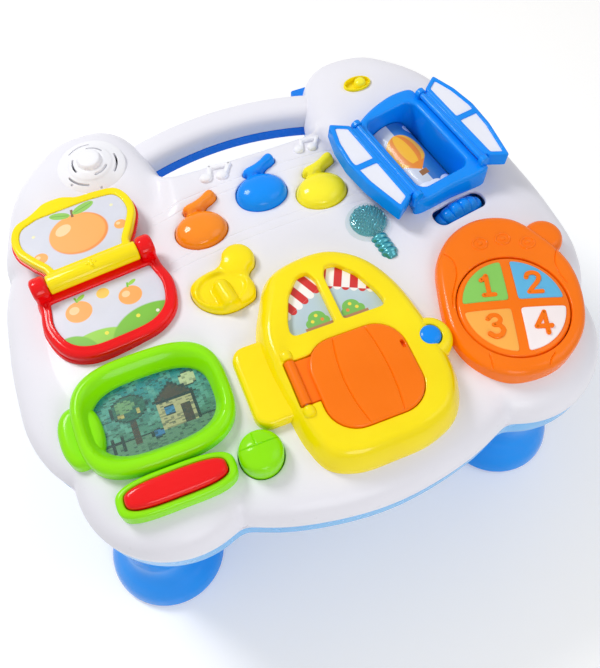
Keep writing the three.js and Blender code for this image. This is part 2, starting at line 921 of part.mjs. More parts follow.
function legs() {
  const top = rimHeight - trayDepth - clearance;
  const foot = footProfileShares.map(([radius, height]) => [radius * footRadius, height * footHeight]);
  const profile = [
    [0, 0],
    [footRadius * 0.97, 0],
    ...foot,
    [legRadius, footHeight * 1.35],
    [legRadius, top],
    [spigotRadius, top],
    [spigotRadius, top + spigotLength],
    [0, top + spigotLength],
  ];
  return Object.entries(legSpots()).map(([name, [x, y]]) => {
    const leg = piece(name, turned(profile, legSides, x, y), colors.blue);
    leg.position.z = -rimHeight;
    return leg;
  });
}

// Battery compartment

function batteryPieces() {
  const [roomX, roomY] = batteryRoom();
  const floor = -trayDepth + wall;
  const plate = prism(boxOutline(roomX - clearance, roomY - clearance), -trayDepth, floor - wall / 4);
  const result = [piece('battery_door', plate, colors.tray)];
  const level = floor + cellRadius + clearance;
  for (let cell = 0; cell < cellCount; cell += 1) {
    const y = (cell - (cellCount - 1) / 2) * cellPitch;
    const direction = cell % 2 ? -1 : 1;
    const solid = joined(
      rod(cellRadius, cellLength, 'x', 0, y, level),
      rod(cellRadius / 3, cellNub * 2, 'x', (direction * cellLength) / 2, y, level),
    );
    result.push(piece(`battery_cell_${cell + 1}`, solid, colors.dark, 0.4, 0.3));
  }
  return result;
}

// Speaker and power switch

function speakerPieces() {
  const profile = [
    [grilleRadius - grilleThickness, grilleLow],
    [grilleRadius, grilleLow],
    [grilleRadius, grilleEdge],
    [grilleRadius - grilleThickness, grilleEdge + grilleThickness / 2],
    [grilleCapRadius + grilleThickness, grilleTop - grilleThickness],
    [grilleCapRadius, grilleTop],
    [grilleCapRadius * 0.6, grilleTop + grilleThickness / 2],
    [0, grilleTop + grilleThickness / 2],
    [0, grilleTop - grilleThickness],
    [grilleCapRadius, grilleTop - 1.8 * grilleThickness],
    [grilleRadius - 1.5 * grilleThickness, grilleEdge - grilleThickness],
    [grilleRadius - grilleThickness, grilleEdge - grilleThickness],
    [grilleRadius - grilleThickness, grilleLow],
  ];
  const slots = slotRadii.flatMap((radius, row) => [0, 1, 2].map((turn) => {
    const middle = 120 * turn + 90 + 60 * row;
    return prism(arcSlotOutline(radius, middle), grilleLow, grilleTop + overrun);
  }));
  const driverTop = grilleLow - clearance;
  const driverProfile = driverProfileShares.map(([radius, drop]) => [
    radius * driverRadius,
    driverTop - drop * driverDepth,
  ]);
  const group = groupAt(speakerX, speakerY);
  group.add(
    piece('speaker_grille', cut(turned(profile, lobeSides), ...slots), colors.white),
    piece('speaker_driver', turned(driverProfile, smallSides), colors.dark, 0.6),
  );
  return group;
}

/** A curved slot about the middle of the grille. */
function arcSlotOutline(radius, middleAngle) {
  const steps = 5;
  const arc = (reach) => Array.from({ length: steps }, (_, step) => {
    const angle = radians(middleAngle + slotSweepAngle * (step / (steps - 1) - 0.5));
    return [reach * Math.cos(angle), reach * Math.sin(angle)];
  });
  return counterclockwise([...arc(radius - slotWidth / 2), ...arc(radius + slotWidth / 2).reverse()]);
}

function switchPieces() {
  const oval = ellipseOutline(switchHalfWidth, switchHalfDepth);
  const floor = switchTop - switchRecess;
  const rest = sliderTravel / 2 + sliderStem / 2;
  const slotHalf = rest + sliderStem / 2 + clearance;
  const bezel = cut(
    softPrism(oval, mouldingFloor + switchBodyDepth, switchTop, edgeRound / 3),
    prism(offsetOutline(oval, -edgeRound / 2), floor, switchTop + overrun),
    prism(boxOutline(slotHalf, sliderStem / 2 + clearance), mouldingFloor, switchTop),
  );
  const slider = joined(
    pillow(
      roundedOutline(sliderHalfWidth, sliderHalfDepth, sliderHalfDepth * 0.9),
      floor + clearance,
      floor + switchRecess,
      floor + switchRecess * 1.4,
    ),
    prism(
      boxOutline(sliderStem / 2, sliderStem / 2),
      mouldingFloor + switchBodyDepth + clearance,
      floor + switchRecess / 2,
    ),
  );
  const sliderPiece = piece('power_slider', slider, colors.yellow);
  sliderPiece.position.x = sliderTravel / 2;
  const bodyTop = mouldingFloor + switchBodyDepth - clearance;
  const body = block(
    -switchHalfWidth * 0.8,
    switchHalfWidth * 0.8,
    -switchHalfDepth * 0.8,
    switchHalfDepth * 0.8,
    bodyTop - switchBodyDepth,
    bodyTop,
  );
  const group = groupAt(switchX, switchY);
  group.add(
    piece('switch_bezel', bezel, colors.yellow),
    sliderPiece,
    piece('slide_switch', body, colors.dark, 0.5, 0.2),
  );
  return group;
}

// Book

function bookPieces() {
  const group = groupAt(bookX, bookY, bookAngle);
  const knuckleX = spineHalfLength + clearance + bookKnuckleLength / 2;
  const knuckle = (side) => joined(
    rod(bookKnuckleRadius, bookKnuckleLength, 'x', side * knuckleX, 0, bookHingeHeight, smallSides),
    block(
      side * knuckleX - bookKnuckleLength / 2,
      side * knuckleX + bookKnuckleLength / 2,
      -bookKnuckleRadius * 0.8,
      bookKnuckleRadius * 0.35,
      pageTop - 2 * pageRecess,
      bookHingeHeight,
    ),
  );
  const cardOutline = offsetOutline(pageOutline, -pageRim);
  const cardRoom = prism(cardOutline, pageTop - pageRecess, pageTop + overrun).subtract(block(
    -pageHalfWidth,
    pageHalfWidth,
    -spineRadius - pageRim / 2,
    pageLength,
    mouldingFloor,
    pageTop + 2 * overrun,
  ));
  const spineRoom = rod(
    spineRadius + 2 * clearance,
    2 * (spineHalfLength + clearance),
    'x',
    0,
    0,
    bookHingeHeight,
    smallSides,
  );
  const pinRoom = rod(bookPinRadius + clearance, 4 * knuckleX, 'x', 0, 0, bookHingeHeight);
  const base = cut(
    joined(softPrism(pageOutline, mouldingFloor, pageTop), knuckle(-1), knuckle(1)),
    cardRoom,
    spineRoom,
    pinRoom,
  );
  const card = prism(
    offsetOutline(cardOutline, -clearance),
    pageTop - pageRecess + clearance,
    pageTop - pageRecess + clearance + cardThickness,
  ).subtract(block(
    -pageHalfWidth,
    pageHalfWidth,
    -spineRadius - pageRim / 2 - clearance,
    pageLength,
    mouldingFloor,
    pageTop,
  ));
  const pin = rod(bookPinRadius, 2 * knuckleX + bookKnuckleLength / 2, 'x', 0, 0, bookHingeHeight);
  group.add(
    piece('book_base', base, colors.red),
    piece('book_page_card', card, colors.card, 0.5),
    piece('book_hinge_pin', pin, colors.steel, 0.3, 1),
    leafPieces(),
  );
  return group;
}

/** The leaf about its hinge axis, open and resting back on the panel. */
function leafPieces() {
  const leaf = new THREE.Group();
  leaf.position.z = bookHingeHeight;
  leaf.rotation.x = radians(-leafRestAngle);
  const right = leafOutlineShares.map(([x, y]) => [x * leafHalfWidth, y * leafLength]);
  const outline = smoothOutline(mirrored(right), mouldingSides);
  const top = leafThickness / 2;
  const floor = top - leafRecess;
  const tab = placedOutline(
    ellipseOutline(leafHalfWidth / 3, leafTabRise * 1.6),
    -leafHalfWidth / 5,
    leafLength - leafTabRise / 2,
  );
  const start = spineRadius * 0.6;
  const cardOutline = offsetOutline(outline, -leafRim);
  const edge = block(
    -leafHalfWidth * 2,
    leafHalfWidth * 2,
    -leafLength,
    start,
    -leafThickness,
    leafThickness,
  );
  const cardEdge = block(
    -leafHalfWidth * 2,
    leafHalfWidth * 2,
    -leafLength,
    spineRadius + leafRim / 2,
    -leafThickness,
    leafThickness,
  );
  const page = joined(
    cut(joined(
      softPrism(outline, -top, top, leafThickness / 4),
      softPrism(tab, -top, top, leafThickness / 4),
    ), edge),
    rod(spineRadius, 2 * spineHalfLength, 'x', 0, 0, 0, smallSides),
  );
  const frame = cut(
    page,
    prism(cardOutline, floor, top + overrun).subtract(cardEdge),
    rod(bookPinRadius + clearance, 3 * spineHalfLength, 'x', 0, 0, 0),
  );
  const card = cut(
    prism(offsetOutline(cardOutline, -clearance), floor + clearance, floor + clearance + cardThickness),
    block(
      -leafHalfWidth * 2,
      leafHalfWidth * 2,
      -leafLength,
      spineRadius + leafRim / 2 + clearance,
      -leafThickness,
      leafThickness,
    ),
  );
  const cover = cut(
    prism(offsetOutline(outline, coverThickness / 2), -top - clearance - coverThickness, -top - clearance),
    block(
      -leafHalfWidth * 2,
      leafHalfWidth * 2,
      -leafLength,
      spineRadius + 3 * clearance,
      -leafLength,
      leafThickness,
    ),
  );
  leaf.add(
    piece('leaf_frame', frame, colors.yellow),
    piece('leaf_card', card, colors.card, 0.5),
    piece('leaf_cover', cover, colors.red),
  );
  return leaf;
}

// Window, shutters and roller

function windowPieces() {
  const group = groupAt(windowX, windowY, windowAngle);
  const opening = placedOutline(
    roundedOutline(openingHalfWidth, (openingHigh - openingLow) / 2, openingHalfWidth / 3),
    0,
    (openingHigh + openingLow) / 2,
  );
  const lugs = [-1, 1].flatMap((side) => [
    [side, shutterHigh + clearance],
    [side, shutterLow - clearance - lugLength],
  ]).map(([side, from]) => joined(
    rod(lugRadius, lugLength, 'y', side * shutterAxisX, from + lugLength / 2, shutterAxisHeight, smallSides),
    block(
      side * shutterAxisX - lugRadius,
      side * shutterAxisX + lugRadius,
      from,
      from + lugLength,
      frameTop - 2 * edgeRound,
      shutterAxisHeight,
    ),
  ));
  const bores = [-1, 1].map((side) => rod(
    shutterPinRadius + clearance,
    4 * shutterHalfLength,
    'y',
    side * shutterAxisX,
    0,
    shutterAxisHeight,
  ));
  const frame = cut(
    joined(softPrism(frameOutline, mouldingFloor, frameTop), ...lugs),
    prism(opening, mouldingFloor - wall, frameTop + overrun),
    block(
      -rollerRadius - rollerMargin,
      rollerRadius + rollerMargin,
      rollerLow - rollerMargin,
      rollerHigh + rollerMargin,
      mouldingFloor - wall,
      rollerHeight + rollerRadius + 2 * rollerMargin,
    ),
    ...bores,
  );
  group.add(piece('window_frame', frame, colors.blue), shutter(-1), shutter(1), rollerGroup(), cradle());
  return group;
}

/** An open shutter about its hinge axis: the left one stands raised a little, the right one hangs. */
function shutter(side) {
  const pivot = new THREE.Group();
  pivot.position.set(side * shutterAxisX, 0, shutterAxisHeight);
  pivot.rotation.y = radians(-side * (side > 0 ? rightShutterRestAngle : leftShutterRestAngle));
  const span = shutterReach - shutterGap;
  const points = shutterOutlineShares.map(([x, y]) => [
    side * (shutterGap + x * span),
    y * shutterHalfLength,
  ]);
  const outline = counterclockwise(points);
  const pane = prism(offsetOutline(outline, -shutterRim), -overrun, overrun);
  const bar = block(
    -shutterReach * 2,
    shutterReach * 2,
    -shutterBar,
    0,
    -overrun,
    overrun,
  );
  const slab = cut(softPrism(outline, -shutterBelow, shutterAbove, edgeRound / 2), pane.subtract(bar));
  const length = shutterHigh - shutterLow;
  const middle = (shutterHigh + shutterLow) / 2;
  const web = side > 0
    ? block(0, shutterGap + shutterRim / 2, shutterLow, shutterHigh, -shutterAbove, shutterAbove / 2)
    : block(-shutterGap - shutterRim / 2, 0, shutterLow, shutterHigh, -shutterAbove, shutterAbove / 2);
  const solid = joined(
    slab,
    web,
    rod(shutterBarrelRadius, length, 'y', 0, middle, 0),
    rod(shutterPinRadius, length + 2 * lugLength, 'y', 0, middle, 0),
  );
  const name = side > 0 ? 'shutter_right' : 'shutter_left';
  pivot.add(piece(name, solid, colors.blue));
  return pivot;
}

/** The picture roller and its thumbwheel on their shaft. */
function rollerGroup() {
  const group = new THREE.Group();
  group.position.z = rollerHeight;
  const length = rollerHigh - rollerLow;
  const bore = rod(shaftRadius + clearance, 4 * length, 'y', 0, 0, 0);
  const drum = cut(
    rod(rollerRadius, length, 'y', 0, (rollerHigh + rollerLow) / 2, 0, legSides),
    bore,
  );
  const front = wheelY - wheelWidth / 2;
  const rear = cradleRear + cradleWall + shaftOverhang;
  const shaft = rod(shaftRadius, rear - front, 'y', 0, (rear + front) / 2, 0);
  group.add(
    piece('picture_roller', drum, colors.card, 0.45),
    piece('thumbwheel', cut(ribbedWheel(), bore), colors.blue),
    piece('roller_shaft', shaft, colors.steel, 0.3, 1),
  );
  return group;
}

/** A wheel along Y whose rim has round ribs for a fingertip. */
function ribbedWheel() {
  const sides = wheelRibCount * 2;
  const profileAt = (angle) => wheelRadius - wheelRibDepth / 2
    + (wheelRibDepth / 2) * Math.cos(angle * wheelRibCount);
  const outline = Array.from({ length: sides }, (_, index) => {
    const angle = (index / sides) * 2 * Math.PI;
    return [profileAt(angle) * Math.cos(angle), profileAt(angle) * Math.sin(angle)];
  });
  const half = wheelWidth / 2;
  const wheel = lofted([
    { outline: offsetOutline(outline, -wheelRibDepth), z: -half },
    { outline, z: -half + wheelRibDepth },
    { outline, z: half - wheelRibDepth },
    { outline: offsetOutline(outline, -wheelRibDepth), z: half },
  ]);
  return wheel.rotate([90, 0, 0]).translate([0, wheelY, 0]);
}

/** The cradle on the tray floor that carries both ends of the shaft. */
function cradle() {
  const floor = -trayDepth + wall + clearance;
  const base = block(
    -cradleHalfWidth,
    cradleHalfWidth,
    cradleFront - cradleWall,
    cradleRear + cradleWall,
    floor,
    floor + cradleBase,
  );
  const wallAt = (from) => block(
    -cradleHalfWidth * 0.75,
    cradleHalfWidth * 0.75,
    from,
    from + cradleWall,
    floor,
    rollerHeight + 1.4 * shaftRadius,
  );
  const bore = rod(shaftRadius + clearance, 8 * rollerRadius, 'y', 0, 0, rollerHeight);
  const solid = cut(joined(base, wallAt(cradleFront - cradleWall), wallAt(cradleRear)), bore);
  return piece('roller_cradle', solid, colors.card, 0.5);
}

// Buttons

/** A flange under the shell that keeps a button in its hole. */
function flange(outline) {
  return prism(offsetOutline(outline, buttonFlange), buttonFloor, buttonFloor + flangeThickness);
}

function noteButton(name, { x, y, color }) {
  const shoulder = noteTop - 2 * edgeRound;
  const solid = joined(
    pillow(noteBodyOutline, buttonFloor, shoulder, noteTop),
    softPrism(noteStemOutline, buttonFloor, noteTop - edgeRound, edgeRound * 0.6),
    flange(noteBodyOutline),
  );
  const button = piece(name, solid, color, 0.25);
  button.position.set(x, y, 0);
  return button;
}

function dummyButton() {
  const ring = cut(
    pillow(circleOutline(dummyRingRadius), buttonFloor, dummyTop, dummyTop + dummyRingRise),
    pillow(
      circleOutline(dummyRingRadius / 2, rodSides),
      dummyTop,
      dummyTop + dummyRingRise,
      dummyTop + 2 * dummyRingRise,
    ),
  );
  const solid = joined(
    softPrism(dummyOutline, buttonFloor, dummyTop, edgeRound),
    pillow(teatOutline, buttonFloor, dummyTop - edgeRound, dummyTop + edgeRound),
    ring,
    flange(dummyOutline),
  );
  const button = piece('dummy_button', solid, colors.yellow, 0.25);
  button.position.set(dummyX, dummyY, 0);
  return button;
}

function roundButton(name, radius, shoulder, top, color) {
  const outline = circleOutline(radius - clearance);
  return piece(name, joined(pillow(outline, buttonFloor, shoulder, top), flange(outline)), color, 0.25);
}

// Lamp

function lampPieces() {
  const group = groupAt(bulbX, bulbY, bulbAngle);
  const lens = joined(
    pillow(bulbOutline, buttonFloor, bulbTop - 2 * edgeRound, bulbTop),
    softPrism(bulbNeckOutline, buttonFloor, bulbTop - 1.5 * edgeRound, edgeRound),
  );
  const level = boardLevel + boardThickness + matThickness + 2 * clearance;
  const lamp = turned([
    [0, level],
    [lampRadius, level],
    [lampRadius, buttonFloor - lampRadius],
    [lampRadius * 0.7, buttonFloor - lampRadius / 2],
    [0, buttonFloor - clearance],
  ], rodSides);
  group.add(
    piece('bulb_lens', lens, colors.teal, 0.1),
    piece('lamp', lamp, colors.card, 0.2),
  );
  return group;
}

// Car

function doorPanelOutline(grow = 0) {
  return offsetOutline(
    placedOutline(roundedOutline(doorHalfWidth, doorHalfDepth, doorCorner), doorX, doorY),
    grow,
  );
}

/** The window of the car on one side, as an outline from the pillar outward. */
function carWindowOutline(side, grow = 0) {
  const points = carWindowShares.map(([x, y]) => [
    side * (carWindowInner + x * carWindowWidth),
    carWindowLow + y * carWindowDepth,
  ]);
  return offsetOutline(counterclockwise(points), grow);
}

function carBody() {
  const cabin = lofted([
    { outline: cabinOutline, z: mouldingFloor },
    { outline: cabinOutline, z: carTop - 1.7 * carDraft },
    { outline: offsetOutline(cabinOutline, -carDraft * 0.35), z: carTop - 0.7 * carDraft },
    { outline: offsetOutline(cabinOutline, -carDraft * 0.65), z: carTop - 0.25 * carDraft },
    { outline: offsetOutline(cabinOutline, -carDraft), z: carTop },
  ]);
  const strapTop = carTop + overrun;
  const strapRoom = block(
    doorAxisX,
    doorX,
    strapLow - clearance,
    strapHigh + clearance,
    doorSeat - clearance,
    strapTop,
  );
  const barrelRoom = joined(
    rod(
      doorBarrelRadius + 2 * clearance,
      strapHigh - strapLow + 2 * clearance,
      'y',
      doorAxisX,
      (strapLow + strapHigh) / 2,
      doorAxisHeight,
    ),
    block(
      doorAxisX - doorBarrelRadius - 2 * clearance,
      doorAxisX,
      strapLow - clearance,
      strapHigh + clearance,
      doorAxisHeight,
      strapTop,
    ),
  );
  const ears = [strapHigh + clearance, strapLow - clearance - 2 * doorBarrelRadius].map((from) => joined(
    rod(
      doorBarrelRadius,
      2 * doorBarrelRadius,
      'y',
      doorAxisX,
      from + doorBarrelRadius,
      doorAxisHeight,
    ),
    block(
      doorAxisX - doorBarrelRadius,
      doorAxisX + doorBarrelRadius,
      from,
      from + 2 * doorBarrelRadius,
      recessFloor,
      doorAxisHeight,
    ),
  ));
  const pinRoom = rod(
    doorPinRadius + clearance,
    strapHigh - strapLow + 2 * doorPinOverlap + 2 * clearance,
    'y',
    doorAxisX,
    (strapHigh + strapLow) / 2,
    doorAxisHeight,
  );
  const windows = [-1, 1].map((side) => prism(carWindowOutline(side), carWindowFloor, strapTop));
  const solid = cut(
    joined(
      cabin,
      softPrism(trunkOutline, mouldingFloor, trunkTop, 2 * edgeRound),
      softPrism(noseOutline, mouldingFloor, noseTop, edgeRound),
      ...ears,
    ),
    prism(doorPanelOutline(clearance), doorSeat - clearance, strapTop),
    prism(doorPanelOutline(-doorLedge), recessFloor, strapTop),
    strapRoom,
    barrelRoom,
    pinRoom,
    ...windows,
    rod(headlightRadius, 4 * overrun, 'z', noseX, noseY, noseTop, smallSides),
    prism(
      placedOutline(circleOutline(headlightRadius + buttonFlange + clearance), noseX, noseY),
      mouldingFloor - wall,
      buttonFloor + flangeThickness + clearance,
    ),
  );
  return piece('car_body', solid, colors.yellow, 0.25);
}

/** The door about its hinge axis, shut. */
function carDoor() {
  const pivot = new THREE.Group();
  pivot.position.set(doorAxisX, 0, doorAxisHeight);
  const low = doorSeat - doorAxisHeight;
  const panel = softPrism(
    placedOutline(doorPanelOutline(), -doorAxisX, 0),
    low,
    low + doorThickness,
    doorThickness / 3,
  );
  const strapEnd = doorX - doorAxisX - doorHalfWidth / 2;
  const strap = block(0, strapEnd, strapLow, strapHigh, low, low + doorThickness / 2);
  const barrel = rod(
    doorBarrelRadius,
    strapHigh - strapLow,
    'y',
    0,
    (strapHigh + strapLow) / 2,
    0,
    smallSides,
  );
  const grooves = [-1, 1].map((side) => {
    const x = doorX - doorAxisX + (side * grooveSpacing) / 2;
    return block(
      x - grooveWidth / 2,
      x + grooveWidth / 2,
      -cabinHalfDepth,
      cabinHalfDepth,
      low + doorThickness - grooveDepth,
      low + doorThickness + overrun,
    );
  });
  const bore = rod(doorPinRadius + clearance, cabinHalfDepth, 'y', 0, (strapHigh + strapLow) / 2, 0);
  pivot.add(piece('car_door', cut(joined(panel, strap, barrel), ...grooves, bore), colors.orange, 0.3));
  return pivot;
}

function carPieces() {
  const group = groupAt(carX, carY);
  const cards = [-1, 1].map((side) => piece(
    side > 0 ? 'car_window_card_right' : 'car_window_card_left',
    prism(
      carWindowOutline(side, -clearance),
      carWindowFloor + clearance,
      carWindowFloor + clearance + cardThickness,
    ),
    colors.card,
    0.5,
  ));
  const recessCard = prism(
    doorPanelOutline(-doorLedge - clearance),
    recessFloor + clearance,
    recessFloor + clearance + cardThickness,
  );
  const pinLength = strapHigh - strapLow + 2 * doorPinOverlap;
  const pin = rod(doorPinRadius, pinLength, 'y', doorAxisX, (strapHigh + strapLow) / 2, doorAxisHeight);
  const headlight = roundButton(
    'headlight_button',
    headlightRadius,
    noseTop,
    headlightTop,
    colors.blue,
  );
  headlight.position.set(noseX, noseY, 0);
  group.add(
    carBody(),
    carDoor(),
    ...cards,
    piece('recess_card', recessCard, colors.card, 0.5),
    piece('car_door_pin', pin, colors.steel, 0.3, 1),
    headlight,
  );
  return group;
}

// Screen, keyboard and mouse

function screenPieces() {
  const group = groupAt(screenX, screenY);
  const hole = squareOvalOutline(screenHalfWidth, screenHalfDepth, 3);
  const room = squareOvalOutline(screenHalfWidth + dishGrow / 2, screenHalfDepth + dishGrow / 2, 3);
  const dish = lofted([
    { outline: hole, z: mouldingFloor },
    { outline: hole, z: screenFace + wall },
    { outline: offsetOutline(hole, dishGrow * 0.75), z: bezelTop - edgeRound },
    { outline: offsetOutline(hole, dishGrow), z: bezelTop + wall },
  ]);
  const bezel = cut(
    joined(
      softPrism(bezelOutline, mouldingFloor, bezelTop, 1.5 * edgeRound),
      softPrism(earOutline, mouldingFloor, earTop, 2 * edgeRound),
    ),
    dish,
    prism(room, mouldingFloor - wall, screenFace),
  );
  const seat = offsetOutline(room, -clearance);
  const lensLow = screenFace - clearance - lensThickness;
  group.add(
    piece('screen_bezel', bezel, colors.green, 0.25),
    piece('screen_lens', prism(seat, lensLow, screenFace - clearance), colors.teal, 0.08),
    piece(
      'screen_card',
      prism(seat, lensLow - clearance - cardThickness, lensLow - clearance),
      colors.card,
      0.5,
    ),
  );
  return group;
}

function keyboardPieces() {
  const group = groupAt(keyboardX, keyboardY);
  const base = cut(
    softPrism(keyboardOutline, mouldingFloor, keyboardTop, edgeRound),
    prism(barOutline, mouldingFloor - wall, keyboardTop + overrun),
    prism(
      offsetOutline(barOutline, buttonFlange),
      mouldingFloor - wall,
      buttonFloor + flangeThickness + clearance,
    ),
  );
  const bar = offsetOutline(barOutline, -clearance);
  const solid = joined(
    softPrism(bar, buttonFloor, barTop, edgeRound),
    prism(offsetOutline(bar, buttonFlange - clearance), buttonFloor, buttonFloor + flangeThickness),
  );
  group.add(
    piece('keyboard_base', base, colors.green, 0.25),
    piece('keyboard_button', solid, colors.red, 0.25),
  );
  return group;
}

// Phone

function phonePieces() {
  const group = groupAt(phoneX, phoneY);
  const recess = circleOutline(discRadius + clearance, lobeSides);
  const well = circleOutline(discStemRadius + clearance);
  const housing = cut(
    joined(
      softPrism(phoneOutline, mouldingFloor, phoneTop, 2 * edgeRound),
      softPrism(phoneEarOutline, mouldingFloor, phoneEarTop, edgeRound),
    ),
    prism(placedOutline(recess, discX, discY, crossAngle), discRecess, phoneTop + overrun),
    prism(placedOutline(well, discX, discY, crossAngle), mouldingFloor - wall, phoneTop),
  );
  const disc = groupAt(discX, discY, crossAngle);
  const crossHalf = discRadius - edgeRound;
  const cross = joined(
    block(-crossHalf, crossHalf, -crossWidth / 2, crossWidth / 2, discFloor, discTop + crossRise),
    block(-crossWidth / 2, crossWidth / 2, -crossHalf, crossHalf, discFloor, discTop + crossRise),
  );
  const solid = joined(
    pillow(circleOutline(discRadius, lobeSides), discFloor, discTop - edgeRound, discTop),
    prism(circleOutline(discStemRadius), buttonFloor, discFloor + clearance),
    cross,
  );
  disc.add(piece('number_disc', solid, colors.orange, 0.3));
  group.add(piece('phone_housing', housing, colors.orange, 0.25), disc);
  return group;
}

// Circuit boards and key mats

/** Where the keys of each board lie on the panel. */
const keySpots = {
  main: [
    ...Object.values(noteSpots).map(({ x, y }) => [x, y]),
    [dummyX, dummyY + dummyHalfDepth / 2],
  ],
  left: [
    [keyboardX - barHalfWidth / 2, keyboardY],
    [keyboardX + barHalfWidth / 2, keyboardY],
    [mouseX, mouseY],
  ],
  right: [
    ...[-1, 1].flatMap((side) => [
      [phoneX + discX + (side * discStemRadius) / 2, phoneY + discY],
      [phoneX + discX, phoneY + discY + (side * discStemRadius) / 2],
    ]),
    [carX + noseX, carY + noseY],
  ],
};

function boardPieces() {
  const matLow = boardLevel + boardThickness + clearance;
  return Object.entries(boards).flatMap(([name, { x, y, halfWidth: alongX, halfDepth: alongY }]) => {
    const outline = placedOutline(boxOutline(alongX, alongY), x, y);
    const mat = offsetOutline(outline, -matInset);
    const domes = keySpots[name].map(([keyX, keyY]) => turned([
      [0, matLow],
      [domeRadius, matLow],
      [domeRadius, matLow + matThickness],
      [domeRadius / 2, matLow + domeHeight],
      [0, matLow + domeHeight],
    ], rodSides, keyX, keyY));
    const board = prism(outline, boardLevel, boardLevel + boardThickness);
    const keys = joined(prism(mat, matLow, matLow + matThickness), ...domes);
    return [
      piece(`${name}_board`, board, colors.board, 0.5),
      piece(`${name}_key_mat`, keys, colors.rubber, 0.8),
    ];
  });
}

// The whole table

const panel = groupAt(0, (frontReach - rearReach) / 2, 0, rimHeight);
panel.add(
  topShell(),
  bottomShell(),
  ...legs(),
  ...batteryPieces(),
  speakerPieces(),
  switchPieces(),
  bookPieces(),
  windowPieces(),
  ...Object.entries(noteSpots).map(([name, spot]) => noteButton(name, spot)),
  dummyButton(),
  lampPieces(),
  carPieces(),
  screenPieces(),
  keyboardPieces(),
  phonePieces(),
  ...boardPieces(),
);
const mouse = roundButton('mouse_button', mouseRadius, mouseShoulder, mouseTop, colors.green);
mouse.position.set(mouseX, mouseY, 0);
panel.add(mouse);

const group = new THREE.Group();
group.add(panel);

export default group;
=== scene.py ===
"""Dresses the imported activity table: its mouldings, cards, buttons, light and camera.

Plan coordinates are millimetres over the rim plane, where the white shell meets the blue tray,
with X to the right and Y to the back. make_piece turns them into the part's own metres.
"""

import itertools
import json
import logging
import math
from dataclasses import dataclass, field
from enum import Enum
from functools import lru_cache
from typing import Callable, Optional, Sequence

import bpy
import numpy as np
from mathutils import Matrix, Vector
from mathutils.geometry import delaunay_2d_cdt

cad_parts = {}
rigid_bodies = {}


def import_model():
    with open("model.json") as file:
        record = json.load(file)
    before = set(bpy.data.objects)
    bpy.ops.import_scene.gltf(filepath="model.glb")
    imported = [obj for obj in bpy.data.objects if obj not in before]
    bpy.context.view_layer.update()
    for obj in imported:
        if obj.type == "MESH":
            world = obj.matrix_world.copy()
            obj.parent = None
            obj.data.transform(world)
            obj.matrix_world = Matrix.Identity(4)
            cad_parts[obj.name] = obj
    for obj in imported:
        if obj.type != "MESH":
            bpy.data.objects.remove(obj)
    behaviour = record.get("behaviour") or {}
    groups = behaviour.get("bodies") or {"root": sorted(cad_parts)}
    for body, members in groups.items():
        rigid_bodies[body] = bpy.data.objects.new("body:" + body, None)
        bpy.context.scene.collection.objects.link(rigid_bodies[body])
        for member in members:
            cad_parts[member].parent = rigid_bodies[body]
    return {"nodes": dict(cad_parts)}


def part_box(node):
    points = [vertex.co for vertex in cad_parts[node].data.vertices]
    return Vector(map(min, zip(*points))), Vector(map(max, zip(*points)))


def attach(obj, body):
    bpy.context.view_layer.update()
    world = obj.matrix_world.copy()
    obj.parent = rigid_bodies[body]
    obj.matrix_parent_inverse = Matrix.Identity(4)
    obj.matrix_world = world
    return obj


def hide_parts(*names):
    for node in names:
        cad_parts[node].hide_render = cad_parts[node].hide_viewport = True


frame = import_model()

LOG = logging.getLogger("activity_table")
MM = 0.001
SLIVER = 2e-4
FOOT = 14
GROOVE_RUNS = (-1.1, -0.6, -0.25, 0.0, 0.25, 0.6, 1.1)
GROOVE_WIDTH = 0.42
PANEL_SHIFT = np.array([0.0, -42.5, 180.0])
Surface = Callable[[np.ndarray, np.ndarray], np.ndarray]
Color = tuple[float, float, float]


# Outlines


def spline(points: Sequence, closed: bool = True, steps: int = 24) -> np.ndarray:
    """A centripetal Catmull-Rom curve: each span is a cubic whose end slopes lean on its neighbours.

    Args:
        points: The points that the curve passes through.
        closed: Whether the curve comes back to its first point.
        steps: How many points each span gets.

    Returns:
        The points of the curve.
    """
    p = np.asarray(points, float)
    if closed:
        before, start, stop, after = (np.roll(p, shift, axis=0) for shift in (1, 0, -1, -2))
    else:
        padded = np.vstack([2 * p[0] - p[1], p, 2 * p[-1] - p[-2]])
        before, start, stop, after = padded[:-3], padded[1:-2], padded[2:-1], padded[3:]

    def root(a: np.ndarray, b: np.ndarray) -> np.ndarray:
        """The square root of the distance between two rows of points."""
        return np.sqrt(np.maximum(np.linalg.norm(b - a, axis=1), 1e-9))[:, None]

    d0, d1, d2 = root(before, start), root(start, stop), root(stop, after)
    slope = ((start - before) / d0 - (stop - before) / (d0 + d1) + (stop - start) / d1) * d1
    slope_end = ((stop - start) / d1 - (after - start) / (d1 + d2) + (after - stop) / d2) * d1
    t = np.linspace(0, 1, steps, endpoint=False)[:, None, None]
    curve = (
        (2 * t**3 - 3 * t**2 + 1) * start
        + (t**3 - 2 * t**2 + t) * slope
        + (3 * t**2 - 2 * t**3) * stop
        + (t**3 - t**2) * slope_end
    )
    result = curve.transpose(1, 0, 2).reshape(-1, p.shape[1])
    return result if closed else np.vstack([result, p[-1:]])


def counterclockwise(loop: np.ndarray) -> np.ndarray:
    """The loop with its inside on the left, found by the sign of its area."""
    ahead = np.roll(loop, -1, axis=0)
    area = np.sum(loop[:, 0] * ahead[:, 1] - ahead[:, 0] * loop[:, 1])
    return loop if area > 0 else loop[::-1].copy()


